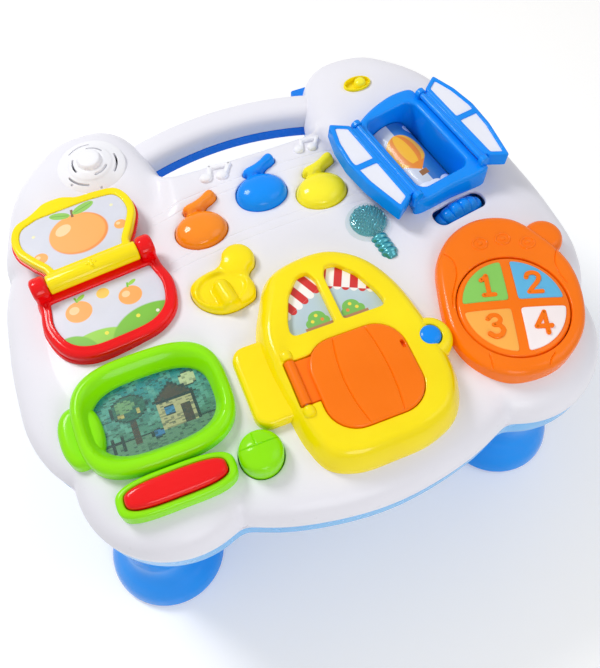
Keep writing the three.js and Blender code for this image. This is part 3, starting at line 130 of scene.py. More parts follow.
def even_loop(points: np.ndarray, spacing: float) -> np.ndarray:
    """The closed loop divided evenly by its arc length, counterclockwise."""
    around = np.vstack([points, points[:1]])
    length = np.r_[0, np.cumsum(np.linalg.norm(np.diff(around, axis=0), axis=1))]
    count = max(12, round(length[-1] / spacing))
    at = np.linspace(0, length[-1], count, endpoint=False)
    loop = np.column_stack([np.interp(at, length, around[:, k]) for k in (0, 1)])
    return counterclockwise(loop)


def softened(loop: np.ndarray, passes: int) -> np.ndarray:
    """The loop with every point drawn halfway to its neighbours, a number of times."""
    for _ in range(passes):
        loop = (np.roll(loop, 1, axis=0) + 2 * loop + np.roll(loop, -1, axis=0)) / 4
    return loop


def share_loop(shares: Sequence, along_x: float, along_y: float, spacing: float = 1.2) -> np.ndarray:
    """A smooth loop through points given as shares of a half width and a half depth."""
    points = np.array(shares, float) * [along_x, along_y]
    return even_loop(spline(points), spacing)


def mirrored(shares: Sequence) -> list:
    """The shares with their mirror image in X, for a run that goes from front to back."""
    return [*shares, *[(-x, y) for x, y in reversed(shares) if x != 0]]


def oval(along_x: float, along_y: float, power: float = 2.0, spacing: float = 1.0) -> np.ndarray:
    """A superellipse: the cosine and sine raised to two parts of the power."""
    angle = np.linspace(0, 2 * np.pi, 400, endpoint=False)
    wave = np.column_stack([np.cos(angle), np.sin(angle)])
    loop = np.sign(wave) * np.abs(wave) ** (2 / power) * [along_x, along_y]
    return even_loop(loop, spacing)


def rounded_box(along_x: float, along_y: float, corner: float, spacing: float = 0.8) -> np.ndarray:
    """A rectangle about its middle whose corners are quarter circles."""
    angle = np.linspace(0, np.pi / 2, 9)
    turns = angle + np.arange(4)[:, None] * np.pi / 2
    side = np.array([[1, 1], [-1, 1], [-1, -1], [1, -1]])
    middles = side * [along_x - corner, along_y - corner]
    x = middles[:, :1] + corner * np.cos(turns)
    y = middles[:, 1:] + corner * np.sin(turns)
    return even_loop(np.column_stack([x.ravel(), y.ravel()]), spacing)


def placed(loop: np.ndarray, x: float, y: float, degrees: float = 0.0) -> np.ndarray:
    """The loop turned about its origin and moved."""
    a = math.radians(degrees)
    turn = np.array([[math.cos(a), math.sin(a)], [-math.sin(a), math.cos(a)]])
    return loop @ turn + [x, y]


def offset(loop: np.ndarray, distance_in: float) -> np.ndarray:
    """The loop's points moved inward along its normals, or outward where the distance is negative."""
    tangent = np.roll(loop, -1, axis=0) - np.roll(loop, 1, axis=0)
    tangent /= np.linalg.norm(tangent, axis=1)[:, None]
    return loop + distance_in * np.column_stack([-tangent[:, 1], tangent[:, 0]])


def inset(loop: np.ndarray, distance_in: float) -> np.ndarray:
    """The loop moved inward or outward, less the points that a sharp corner folds over."""
    moved = offset(loop, distance_in)
    return moved[distance(moved, loop) >= 0.96 * abs(distance_in) - 1e-6]


def inside(points: np.ndarray, loop: np.ndarray) -> np.ndarray:
    """Whether each point lies in the loop, by how often a ray to the right crosses it."""
    ahead = np.roll(loop, -1, axis=0)
    ax, ay, bx, by = loop[:, 0], loop[:, 1], ahead[:, 0], ahead[:, 1]
    rise = np.where(by == ay, 1.0, by - ay)

    def block(part: np.ndarray) -> np.ndarray:
        """The answer for one block of points."""
        x, y = part[:, :1], part[:, 1:2]
        crosses = (ay > y) != (by > y)
        return np.sum(crosses & (x < (bx - ax) * (y - ay) / rise + ax), axis=1) % 2 == 1

    parts = np.array_split(points, len(points) // 3000 + 1)
    return np.concatenate([block(part) for part in parts])


def distance(points: np.ndarray, loop: np.ndarray, closed: bool = True) -> np.ndarray:
    """The least distance of each point from a closed loop, or from an open line."""
    start = loop if closed else loop[:-1]
    span = (np.roll(loop, -1, axis=0) - loop) if closed else np.diff(loop, axis=0)
    square = np.maximum(np.sum(span**2, axis=1), 1e-12)

    def block(part: np.ndarray) -> np.ndarray:
        """The answer for one block of points."""
        away = part[:, None] - start
        along = np.clip(np.sum(away * span, axis=2) / square, 0, 1)
        return np.linalg.norm(away - along[..., None] * span, axis=2).min(axis=1)

    parts = np.array_split(points, len(points) // 1500 + 1)
    return np.concatenate([block(part) for part in parts])


def gauge(loop: np.ndarray, middle: Optional[Sequence] = None) -> Surface:
    """How far out a point lies from a middle, as a share of the loop's reach that way.

    Args:
        loop: A loop that every ray from the middle crosses once.
        middle: The middle, or none for the mean of the loop.

    Returns:
        A function of X and Y that is 0 at the middle and 1 on the loop.
    """
    centre = loop.mean(axis=0) if middle is None else np.asarray(middle, float)
    away = loop - centre
    angle = np.arctan2(away[:, 1], away[:, 0])
    order = np.argsort(angle)
    reach = np.hypot(away[:, 0], away[:, 1])[order]

    def share(x: np.ndarray, y: np.ndarray) -> np.ndarray:
        """The share at each point."""
        around = np.arctan2(y - centre[1], x - centre[0])
        edge = np.interp(around, angle[order], reach, period=2 * np.pi)
        return np.hypot(x - centre[0], y - centre[1]) / edge

    return share


# Forms


@dataclass
class Form:
    """A closed surface in millimetres.

    Attributes:
        points: One row of X, Y and Z for each point.
        faces: Blocks of faces, each a table of point numbers.
    """

    points: np.ndarray
    faces: list[np.ndarray]

    def shifted(self, x: float = 0.0, y: float = 0.0, z: float = 0.0) -> "Form":
        """The form moved."""
        return Form(self.points + [x, y, z], self.faces)

    def turned(self, axis: int, degrees: float) -> "Form":
        """The form turned about the X, Y or Z axis, given as 0, 1 or 2."""
        a = math.radians(degrees)
        first, second = (axis + 1) % 3, (axis + 2) % 3
        points = self.points.copy()
        points[:, first] = math.cos(a) * self.points[:, first] - math.sin(a) * self.points[:, second]
        points[:, second] = math.sin(a) * self.points[:, first] + math.cos(a) * self.points[:, second]
        return Form(points, self.faces)

    def underside(self) -> "Form":
        """The form mirrored in its base plane, with its faces turned to point outwards."""
        return Form(self.points * [1, 1, -1], [block[:, ::-1] for block in self.faces])

    def plus(self, *others: "Form") -> "Form":
        """This form and others as one."""
        forms = [self, *others]
        starts = np.cumsum([0, *[len(form.points) for form in forms]])
        faces = [block + start for form, start in zip(forms, starts) for block in form.faces]
        return Form(np.vstack([form.points for form in forms]), faces)


@dataclass
class Opening:
    """A recess or a hole in a moulding.

    Attributes:
        loop: Its outline.
        floor: The height of its floor, or none where it goes through.
        lip: The radius of its upper edge.
        parent: 0 where it starts from the top, or the number of the opening it starts in.
    """

    loop: np.ndarray
    floor: Optional[float] = None
    lip: float = 0.5
    parent: int = 0


def drop(gap: np.ndarray, radius: float) -> np.ndarray:
    """How far a round edge lies under its flat top, by the distance from the edge.

    It is the radius less the height of a circle at that distance.
    """
    inward = np.clip(radius - gap, 0, radius)
    return radius - np.sqrt(np.maximum(radius**2 - inward**2, 0))


def moulded(
    loop: np.ndarray,
    low: float,
    top: float | Surface,
    edge: float = 3.0,
    openings: Sequence[Opening] = (),
    spacing: float = 2.0,
    steps: int = 6,
    under: Optional[Surface] = None,
    extra_rings: Sequence[float] = (),
    creases: Sequence[np.ndarray] = (),
    crease_depth: float = 0.7,
) -> Form:
    """A moulding over an outline: its height is a function of X and Y, less its round edges.

    The outline, the openings, rings beside them and a grid of triangles are joined by a
    Delaunay net, and that net is used once for each level.

    Args:
        loop: The outer outline.
        low: The height at which the walls end.
        top: The height of the top before its edges are rounded.
        edge: The radius of the outer edge.
        openings: The recesses and holes, each one after the one it starts in.
        spacing: The distance between the points of the grid.
        steps: The number of rings on a round edge.
        under: The height of the underside, or none for a flat one.
        extra_rings: Further distances from the outline that get a ring of points.
        creases: Open lines along which the top has a fine groove.
        crease_depth: How deep the grooves are.

    Returns:
        The closed form.
    """
    tops: Surface = top if callable(top) else lambda x, y: np.full_like(x, top)
    loops = [loop, *[opening.loop for opening in openings]]
    radii = [edge, *[opening.lip for opening in openings]]
    turns = np.linspace(0, np.pi / 2, steps)[1:]
    rings, depths = [], []
    for number, (line, radius) in enumerate(zip(loops, radii)):
        marks = [*(radius * (1 - np.cos(turns))), *(extra_rings if number == 0 else ())]
        for depth in marks:
            rings.append(offset(line, depth if number == 0 else -depth))
            depths.append(np.full(len(line), depth))
    lowest, highest = loop.min(axis=0), loop.max(axis=0)
    row = spacing * math.sqrt(3) / 2
    gx, gy = np.meshgrid(
        np.arange(lowest[0], highest[0] + spacing, spacing),
        np.arange(lowest[1], highest[1] + row, row),
    )
    gx = gx + (np.arange(len(gx)) % 2)[:, None] * spacing / 2
    grid = np.column_stack([gx.ravel(), gy.ravel()])
    grid = grid[inside(grid, loop)]
    reach = max([edge, *extra_rings])
    for number, (line, radius) in enumerate(zip(loops, radii)):
        wide = (reach if number == 0 else radius) + 0.55 * spacing
        grid = grid[distance(grid, line) > wide]
        if number:
            grid = grid[~inside(grid, line)]
    for line in creases:
        grid = grid[distance(grid, line, closed=False) > GROOVE_RUNS[-1] + 0.4 * spacing]
        along = np.gradient(line, axis=0)
        across = np.column_stack([-along[:, 1], along[:, 0]]) / np.linalg.norm(along, axis=1)[:, None]
        for aside in GROOVE_RUNS:
            rings.append(line + across * aside)
            depths.append(np.full(len(line), 0.3))
    beside = np.vstack(rings)
    depth = np.concatenate(depths)
    keep = inside(beside, loop)
    for line in loops:
        keep &= distance(beside, line) > 0.7 * depth
    for opening in openings:
        keep &= ~inside(beside, opening.loop) | (opening.floor is not None)
    corners = np.vstack([*loops, beside[keep], grid])
    starts = np.cumsum([0, *[len(line) for line in loops]])
    pairs = [
        np.column_stack([np.arange(len(line)), np.roll(np.arange(len(line)), -1)]) + start
        for line, start in zip(loops, starts)
    ]
    net = delaunay_2d_cdt(corners.tolist(), np.vstack(pairs).tolist(), [], 0, 1e-5)
    flat = np.array([tuple(corner) for corner in net[0]])
    triangles = np.array(net[2])
    counts = np.fromiter(map(len, net[3]), int)
    back = np.zeros(len(corners), int)
    back[np.fromiter(itertools.chain.from_iterable(net[3]), int)] = np.repeat(
        np.arange(len(counts)), counts
    )
    sides = flat[triangles]
    area = np.cross(sides[:, 1] - sides[:, 0], sides[:, 2] - sides[:, 0])
    triangles[area < 0] = triangles[area < 0][:, ::-1]
    wide = np.abs(area) > SLIVER
    triangles, sides = triangles[wide], sides[wide]
    middle = sides.mean(axis=1)
    level = np.where(inside(middle, loop), 0, -1)
    solid = level == 0
    for number, opening in enumerate(openings, 1):
        within = inside(middle, opening.loop)
        level[within] = number
        if opening.floor is None:
            solid &= ~within
    x, y = flat.T
    heights = [tops(x, y), under(x, y) if under else np.full_like(x, low)]
    heights += [np.full_like(x, opening.floor or 0.0) for opening in openings]
    parents = [0, *[opening.parent for opening in openings]]
    for line, radius, parent in zip(loops, radii, parents):
        heights[parent + 1 if parent else 0] -= drop(distance(flat, line), radius)
    for line in creases:
        away = distance(flat, line, closed=False) / GROOVE_WIDTH
        heights[0] -= crease_depth * np.exp(-(away**2))
    count = len(flat)
    faces = [triangles[level == 0], triangles[solid][:, ::-1] + count]
    for number, opening in enumerate(openings, 1):
        if opening.floor is not None:
            faces.append(triangles[level == number] + (number + 1) * count)
    for number, line in enumerate(loops):
        ring = back[starts[number] : starts[number] + len(line)]
        ahead = np.roll(ring, -1)
        if number == 0:
            faces.append(np.column_stack([ring + count, ahead + count, ahead, ring]))
            continue
        opening = openings[number - 1]
        up = (opening.parent + 1) * count if opening.parent else 0
        down = count if opening.floor is None else (number + 1) * count
        faces.append(np.column_stack([ring + up, ahead + up, ahead + down, ring + down]))
    points = np.vstack([np.column_stack([flat, height]) for height in heights])
    used = np.unique(np.concatenate([block.ravel() for block in faces]))
    fresh = np.zeros(len(points), int)
    fresh[used] = np.arange(len(used))
    return Form(points[used], [fresh[block] for block in faces])


def lathed(profile: Sequence, sides: int = 96, ripple: Optional[Surface] = None) -> Form:
    """A turned form: each row of radius and height goes once round the Z axis.

    Args:
        profile: Rows from the lower pole to the upper pole, both on the axis.
        sides: The number of points round the axis.
        ripple: An addition to the radius, as a function of the angle and the height.

    Returns:
        The closed form.
    """
    rows = np.asarray(profile, float)
    angle = np.linspace(0, 2 * np.pi, sides, endpoint=False)
    radius = np.repeat(rows[1:-1, :1], sides, axis=1)
    height = np.repeat(rows[1:-1, 1:], sides, axis=1)
    if ripple:
        radius = radius + ripple(angle[None, :], height)
    rings = np.dstack([radius * np.cos(angle), radius * np.sin(angle), height])
    count = len(rows) - 2
    around = np.arange(sides)
    ahead = np.roll(around, -1)
    base = (np.arange(count - 1) * sides)[:, None]
    walls = np.stack([base + around, base + ahead, base + sides + ahead, base + sides + around], axis=2)
    last = (count - 1) * sides
    low, high = count * sides, count * sides + 1
    caps = [
        np.column_stack([np.full(sides, low), ahead, around]),
        np.column_stack([np.full(sides, high), last + around, last + ahead]),
    ]
    points = np.vstack([rings.reshape(-1, 3), [0, 0, rows[0, 1]], [0, 0, rows[-1, 1]]])
    return Form(points, [walls.reshape(-1, 4), *caps])


def swept(path: np.ndarray, section: np.ndarray, closed: bool = False) -> Form:
    """A section carried along a path: across it sideways, and up along Z.

    Args:
        path: The points of the path.
        section: A counterclockwise loop of sideways and upward distances.
        closed: Whether the path comes back to its start.

    Returns:
        The closed form.
    """
    if closed:
        tangent = np.roll(path, -1, axis=0) - np.roll(path, 1, axis=0)
    else:
        tangent = np.gradient(path, axis=0)
    tangent /= np.linalg.norm(tangent, axis=1)[:, None]
    across = np.cross(tangent, [0.0, 0.0, 1.0])
    across /= np.linalg.norm(across, axis=1)[:, None]
    up = np.cross(across, tangent)
    rings = path[:, None] + across[:, None] * section[:, :1] + up[:, None] * section[:, 1:]
    count, sides = len(path), len(section)
    around = np.arange(sides)
    ahead = np.roll(around, -1)
    low = (np.arange(count if closed else count - 1) * sides)[:, None]
    high = (low + sides) % (count * sides)
    walls = np.stack([low + around, high + around, high + ahead, low + ahead], axis=2)
    faces = [walls.reshape(-1, 4)]
    if not closed:
        faces += [around[None, :], (around + (count - 1) * sides)[None, ::-1]]
    return Form(rings.reshape(-1, 3), faces)


# Finishes


class Nodes:
    """Builds the node tree of one material."""

    def __init__(self, name: str) -> None:
        """Starts a material with its shader and its object coordinates."""
        self.material = bpy.data.materials.new(name)
        self.material.use_nodes = True
        self.tree = self.material.node_tree
        self.shader = self.tree.nodes["Principled BSDF"]
        self.object_place = self.add("ShaderNodeTexCoord").outputs["Object"]

    def add(self, kind: str, **settings: object) -> bpy.types.Node:
        """A new node with its settings."""
        node = self.tree.nodes.new(kind)
        for key, value in settings.items():
            setattr(node, key, value)
        return node

    def put(self, socket: bpy.types.NodeSocket, value: object) -> None:
        """Links a socket to another one, or sets its value."""
        if isinstance(value, bpy.types.NodeSocket):
            self.tree.links.new(value, socket)
        else:
            socket.default_value = value

    def math(self, operation: str, *values: object) -> bpy.types.NodeSocket:
        """The result of one sum."""
        node = self.add("ShaderNodeMath", operation=operation)
        for socket, value in zip(node.inputs, values):
            self.put(socket, value)
        return node.outputs[0]

    def noise(self, scale: float, detail: float = 3.0, place: object = None) -> bpy.types.NodeSocket:
        """Smooth noise from 0 to 1."""
        node = self.add("ShaderNodeTexNoise")
        self.put(node.inputs["Vector"], place or self.object_place)
        node.inputs["Scale"].default_value = scale
        node.inputs["Detail"].default_value = detail
        return node.outputs["Fac"]

    def spread(
        self, value: object, low: float, high: float, start=0.3, stop=0.7
    ) -> bpy.types.NodeSocket:
        """A value mapped from one span to another, and held at its ends."""
        node = self.add("ShaderNodeMapRange")
        for socket, number in zip(node.inputs, (value, start, stop, low, high)):
            self.put(socket, number)
        return node.outputs[0]

    def mix(self, factor: object, first: object, second: object) -> bpy.types.NodeSocket:
        """A mix of two colours."""
        node = self.add("ShaderNodeMix", data_type="RGBA")
        self.put(node.inputs["Factor"], factor)
        self.put(node.inputs["A"], first)
        self.put(node.inputs["B"], second)
        return node.outputs["Result"]

    def mapped(
        self, place: object, location: Sequence, degrees: float, scale: Sequence
    ) -> bpy.types.NodeSocket:
        """Coordinates about a place, turned back and divided by a scale."""
        node = self.add("ShaderNodeMapping", vector_type="TEXTURE")
        self.put(node.inputs["Vector"], place)
        node.inputs["Location"].default_value = location
        node.inputs["Rotation"].default_value = (0, 0, math.radians(degrees))
        node.inputs["Scale"].default_value = scale
        return node.outputs[0]

    def split(self, place: object) -> tuple:
        """The X, Y and Z of a place."""
        node = self.add("ShaderNodeSeparateXYZ")
        self.put(node.inputs[0], place)
        return tuple(node.outputs)

    def bump(self, height: object, strength: float, depth: float) -> None:
        """A fine relief on the shader."""
        node = self.add("ShaderNodeBump")
        node.inputs["Strength"].default_value = strength
        node.inputs["Distance"].default_value = depth
        self.put(node.inputs["Height"], height)
        self.put(self.shader.inputs["Normal"], node.outputs[0])

    def plan_place(self) -> bpy.types.NodeSocket:
        """Object coordinates in plan millimetres."""
        return self.mapped(self.object_place, tuple(PANEL_SHIFT * MM), 0, (MM, MM, MM))


def rgba(color: Color) -> tuple:
    """The colour with full cover."""
    return (*color, 1.0)


def linear(red: int, green: int, blue: int) -> Color:
    """A colour from its display values, made linear by the usual power curve."""
    share = np.array([red, green, blue]) / 255
    curve = np.where(share <= 0.04045, share / 12.92, ((share + 0.055) / 1.055) ** 2.4)
    return tuple(float(v) for v in curve)


@dataclass(frozen=True)
class Plastic:
    """A moulded plastic with slight mottling, uneven gloss and a fine skin."""

    name: str
    color: Color
    roughness: float = 0.2
    coat: float = 0.25
    mottling: float = 0.05
    grain: float = 0.03
    specular: float = 0.12
    alpha: float = 1.0
    metallic: float = 0.0

    def material(self) -> bpy.types.Material:
        """The material of this plastic."""
        nodes = Nodes(self.name)
        shader = nodes.shader
        broad = nodes.noise(22.0, 4.0)
        low = tuple(c * (1 - self.mottling) for c in self.color)
        high = tuple(min(1.0, c * (1 + self.mottling) + 0.004) for c in self.color)
        nodes.put(
            shader.inputs["Base Color"], nodes.mix(nodes.spread(broad, 0, 1), rgba(low), rgba(high))
        )
        scuffs = nodes.noise(140.0, 6.0)
        nodes.put(
            shader.inputs["Roughness"],
            nodes.spread(scuffs, self.roughness * 0.9, self.roughness * 1.15),
        )
        nodes.bump(nodes.noise(1500.0, 2.0), self.grain, 0.0002)
        for socket, value in {
            "Specular IOR Level": self.specular,
            "Coat Weight": self.coat,
            "Coat Roughness": 0.06,
            "Metallic": self.metallic,
            "Alpha": self.alpha,
        }.items():
            shader.inputs[socket].default_value = value
        return nodes.material


class Mark(Enum):
    """The shapes that a printed card is drawn from."""

    DISC = "disc"
    BOX = "box"
    STRIPES = "stripes"
    WEDGE = "wedge"


DISC, BOX, STRIPES, WEDGE = Mark.DISC, Mark.BOX, Mark.STRIPES, Mark.WEDGE


@dataclass(frozen=True)
class Print:
    """One printed shape: its kind, middle, half sizes, turn and colour."""

    mark: Mark
    x: float
    y: float
    wide: float
    high: float
    color: Color
    degrees: float = 0.0

    def cover(self, nodes: Nodes, place: object) -> bpy.types.NodeSocket:
        """Where the shape lies: a disc by its length, a box by its larger coordinate,
        stripes by a square wave of X in a box, a wedge by a width that falls with Y.

        Args:
            nodes: The tree that it joins.
            place: The card's coordinates.

        Returns:
            A cover from 0 to 1.
        """
        spot = nodes.mapped(place, (self.x, self.y, 0), self.degrees, (self.wide, self.high, 1e6))
        x, y, _ = nodes.split(spot)
        wide, high = nodes.math("ABSOLUTE", x), nodes.math("ABSOLUTE", y)
        if self.mark is DISC:
            length = nodes.add("ShaderNodeVectorMath", operation="LENGTH")
            nodes.put(length.inputs[0], spot)
            return nodes.spread(length.outputs["Value"], 1, 0, 0.97, 1.02)
        box = nodes.spread(nodes.math("MAXIMUM", wide, high), 1, 0, 0.985, 1.01)
        if self.mark is BOX:
            return box
        if self.mark is STRIPES:
            wave = nodes.math("SINE", nodes.math("MULTIPLY", x, 3.5 * math.pi))
            return nodes.math("MULTIPLY", box, nodes.spread(wave, 0, 1, -0.08, 0.08))
        slope = nodes.math("MULTIPLY", y, 0.5)
        edge = nodes.math("ADD", slope, nodes.math("ADD", wide, -0.5))
        return nodes.math("MULTIPLY", box, nodes.spread(edge, 1, 0, -0.02, 0.02))


def drawn(*rows: tuple) -> tuple[Print, ...]:
    """The shapes of rows that give a mark, X, Y, half width, half height, colour and turn."""
    return tuple(Print(*row) for row in rows)


@dataclass(frozen=True)
class Card:
    """A printed card: plain ground with printed shapes over it, under a thin gloss."""

    name: str
    ground: Color
    prints: tuple[Print, ...]
    x: float = 0.0
    y: float = 0.0
    degrees: float = 0.0
    uses_uv: bool = False
    roughness: float = 0.38

    def material(self) -> bpy.types.Material:
        """The material of this card."""
        nodes = Nodes(self.name)
        shader = nodes.shader
        if self.uses_uv:
            place = nodes.add("ShaderNodeUVMap", uv_map="UVMap").outputs[0]
        else:
            place = nodes.mapped(nodes.plan_place(), (self.x, self.y, 0), self.degrees, (1, 1, 1))
        paper = nodes.spread(nodes.noise(60.0, 4.0), 0, 1)
        tint = tuple(c * 0.95 for c in self.ground)
        color = nodes.mix(paper, rgba(tint), rgba(self.ground))
        for mark in self.prints:
            color = nodes.mix(mark.cover(nodes, place), color, rgba(mark.color))
        nodes.put(shader.inputs["Base Color"], color)
        nodes.put(
            shader.inputs["Roughness"],
            nodes.spread(nodes.noise(220.0, 3.0), self.roughness * 0.8, self.roughness * 1.2),
        )
        nodes.bump(nodes.noise(900.0, 3.0), 0.08, 0.0002)
        shader.inputs["Coat Weight"].default_value = 0.15
        return nodes.material


@dataclass(frozen=True)
class Mosaic:
    """The picture under the screen: a house, a tree and a moon in small squares of colour."""

    name: str
    x: float
    y: float
    cell: float = 0.95

    def shapes(self) -> tuple[Print, ...]:
        """The picture's shapes from back to front."""
        dark, wood, pale = linear(12, 22, 20), linear(74, 52, 36), linear(196, 190, 140)
        field_tone, leaf, glow = linear(104, 146, 118), linear(44, 104, 84), linear(210, 218, 168)
        ripe = linear(206, 190, 110)
        return drawn(
            (DISC, 25, 14, 6.2, 5.4, dark),
            (DISC, 25.4, 14.4, 5.2, 4.5, glow),
            (DISC, 22, -27, 34, 16, linear(70, 116, 100)),
            (BOX, 0, -20.5, 60, 7.4, dark),
            (BOX, 0, -21.4, 60, 7.4, field_tone),
            (BOX, 13, -5.0, 12.4, 9.8, dark),
            (BOX, 13, -5.6, 11.2, 9.2, pale),
            (WEDGE, 13, 10.6, 15.4, 6.6, dark),
            (WEDGE, 13, 10.0, 12.6, 5.0, wood),
            (BOX, 8.4, -3.0, 3.4, 3.4, dark),
            (BOX, 8.4, -3.0, 2.5, 2.5, linear(66, 140, 190)),
            (BOX, 18.2, -8.2, 2.9, 6.4, wood),
            (BOX, -16, -8.0, 2.4, 10.0, dark),
            (BOX, -16, -8.0, 1.4, 10.0, wood),
            (DISC, -16, 7.6, 12.2, 9.4, dark),
            (DISC, -16, 7.6, 11.0, 8.4, leaf),
            (DISC, -18.5, 9.6, 6.4, 4.4, linear(120, 164, 112)),
            (DISC, -10.4, 4.4, 1.8, 1.7, ripe),
            (DISC, -22, 4.0, 1.8, 1.7, ripe),
            (BOX, -31, -14.0, 1.0, 5.4, dark),
            (BOX, -26, -14.0, 1.0, 5.4, dark),
            (BOX, -29, -12.6, 6.0, 0.9, dark),
            (DISC, -2.6, -15.4, 4.2, 3.2, dark),
            (DISC, -2.6, -15.0, 3.2, 2.4, linear(62, 128, 182)),
        )

    def material(self) -> bpy.types.Material:
        """The material of the picture: a sky that darkens downward, its shapes, and a speckle."""
        nodes = Nodes(self.name)
        place = nodes.mapped(nodes.plan_place(), (self.x, self.y, 0), 0, (1, 1, 1))
        snap = nodes.add("ShaderNodeVectorMath", operation="SNAP")
        nodes.put(snap.inputs[0], place)
        snap.inputs[1].default_value = (self.cell * 2.2, self.cell, 1000.0)
        cell = snap.outputs[0]
        _, y, _ = nodes.split(cell)
        sky = nodes.mix(
            nodes.spread(y, 0, 1, -8, 22), rgba(linear(84, 140, 118)), rgba(linear(6, 138, 148))
        )
        cloud = nodes.spread(nodes.noise(0.11, 2.0, cell), 0, 0.5, 0.48, 0.56)
        rows = nodes.mix(cloud, sky, rgba(linear(126, 198, 178)))
        for shape in self.shapes():
            rows = nodes.mix(shape.cover(nodes, cell), rows, rgba(shape.color))
        flicker = nodes.add("ShaderNodeTexWhiteNoise", noise_dimensions="2D")
        nodes.put(flicker.inputs["Vector"], cell)
        level = nodes.math("MULTIPLY", nodes.spread(flicker.outputs["Value"], 0, 1, 0.6, 1), 0.8)
        rows = nodes.mix(level, rows, rgba(linear(24, 46, 42)))
        nodes.put(nodes.shader.inputs["Base Color"], rows)
        nodes.put(nodes.shader.inputs["Roughness"], nodes.spread(nodes.noise(300.0), 0.3, 0.5))
        return nodes.material


WHITE = Plastic(
    "shell_white", linear(236, 235, 243), roughness=0.3, coat=0.1, mottling=0.008, grain=0.01
)
# A lighter copy of the shell's white. On the raised notes, which are part of the shell's moulding, the
# lighter tone is painted light; the speaker grille is made of it too.
GRILLE_WHITE = Plastic(
    "grille_white", linear(244, 244, 249), roughness=0.3, coat=0.1, mottling=0.008, grain=0.01
)
PANE = Plastic("pane_white", linear(238, 240, 250), roughness=0.4, coat=0.0, mottling=0.01, grain=0.01)
# The tray band and the handle's underside are one blue moulding in two tones: this lighter copy, on the
# tray band, is painted light.
TRAY_LIT_BLUE = Plastic("tray_blue_painted_light", linear(112, 192, 255), roughness=0.25)
LEG = Plastic("leg_blue", linear(0, 150, 255), roughness=0.12, coat=0.35)
BLUE = Plastic("moulding_blue", linear(0, 142, 248), roughness=0.18, coat=0.15)
# The darker copy of the same blue, on the handle's underside: painted shade.
HANDLE_SHADED_BLUE = Plastic("handle_blue_painted_shade", linear(0, 128, 238), roughness=0.25)
RED = Plastic("moulding_red", linear(240, 0, 6), roughness=0.16, coat=0.25)
YELLOW = Plastic("moulding_yellow", linear(255, 228, 0), roughness=0.18, coat=0.25)
LEMON = Plastic("button_lemon", linear(255, 238, 40), roughness=0.14, coat=0.35)
ORANGE = Plastic("moulding_orange", linear(255, 120, 0), roughness=0.22, coat=0.15)
NOTE_ORANGE = Plastic("button_orange", linear(255, 142, 16), roughness=0.13, coat=0.4)
GREEN = Plastic("moulding_green", linear(146, 236, 0), roughness=0.18, coat=0.15)
LENS = Plastic(
    "screen_window", linear(60, 150, 140), roughness=0.08, coat=0.5, alpha=0.07, mottling=0.0
)
BULB = Plastic(
    "bulb_clear", linear(150, 214, 220), roughness=0.05, coat=1.0, alpha=0.18, mottling=0.0,
    specular=0.5
)
BULB_CORE = Plastic(
    "bulb_teal", linear(
        20, 150, 166
    ), roughness=0.1, coat=0.8, mottling=0.1, specular=0.8, metallic=0.45
)
RIM_DARK = Plastic("inside_dark", linear(30, 32, 38), roughness=0.6, coat=0.0)
BOARD = Plastic("board_green", linear(28, 107, 60), roughness=0.45)
MAT = Plastic("key_mat", linear(85, 88, 92), roughness=0.75, coat=0.0)
CELL = Plastic("cell_sleeve", linear(70, 72, 78), roughness=0.35, metallic=0.6)
STEEL = Plastic("steel_rod", linear(196, 199, 205), roughness=0.25, coat=0.0, metallic=1.0)
NATURAL = Plastic("natural_plastic", linear(225, 226, 228), roughness=0.4)
PAPER = linear(214, 216, 228)


@lru_cache(maxsize=None)
def material_of(finish: object) -> bpy.types.Material:
    """The material of a finish, made once."""
    return finish.material()


def make_piece(
    name: str,
    form: Form,
    finish: object,
    body: str = "table",
    replaces: Sequence[str] = (),
    slot: Optional[str] = None,
    crease: float = 38.0,
) -> bpy.types.Object:
    """Makes a piece of a form, dresses it and puts it on its body.

    Args:
        name: The piece's name.
        form: Its form, in plan millimetres.
        finish: Its finish.
        body: The body it moves with.
        replaces: The solids that it stands for.
        slot: The record's material slot; not used.
        crease: The angle in degrees past which an edge is sharp.

    Returns:
        The object.
    """
    mesh = bpy.data.meshes.new(name)
    faces = [row for block in form.faces for row in block.tolist()]
    mesh.from_pydata(((form.points + PANEL_SHIFT) * MM).tolist(), [], faces)
    mesh.update()
    mesh.shade_smooth()
    mesh.set_sharp_from_angle(angle=math.radians(crease))
    mesh.materials.append(material_of(finish))
    piece = bpy.data.objects.new(name, mesh)
    bpy.context.scene.collection.objects.link(piece)
    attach(piece, body)
    if replaces:
        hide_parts(*replaces)
    LOG.info("%s: %d points", name, len(form.points))
    return piece


def sheet(loop: np.ndarray, top: float) -> Form:
    """A thin card half a millimetre thick, a little smaller than the recess it lies in."""
    return moulded(inset(loop, 0.15), top - 0.5, top, 0.1, [], 3.0, 2)


def smooth_step_from(loop: np.ndarray, start: float, stop: float, low: float, high: float) -> Surface:
    """A height that goes from low to high between two distances from a loop, by a smooth step."""

    def height(x: np.ndarray, y: np.ndarray) -> np.ndarray:
        """The height at each point."""
        share = np.clip((distance(np.column_stack([x, y]), loop) - start) / (stop - start), 0, 1)
        return low + (high - low) * share * share * (3 - 2 * share)

    return height


def dome(
    loop: np.ndarray, shoulder: float, top: float, middle: Optional[Sequence] = None, power: float = 2.0
) -> Surface:
    """A crown over a loop: the rise times the root of one less the gauge to a power."""
    share = gauge(loop, middle)

    def height(x: np.ndarray, y: np.ndarray) -> np.ndarray:
        """The height at each point."""
        flat = np.clip(share(x, y), 0, 1) ** power
        return shoulder + (top - shoulder) * np.sqrt(np.maximum(1 - 0.96 * flat, 0))

    return height


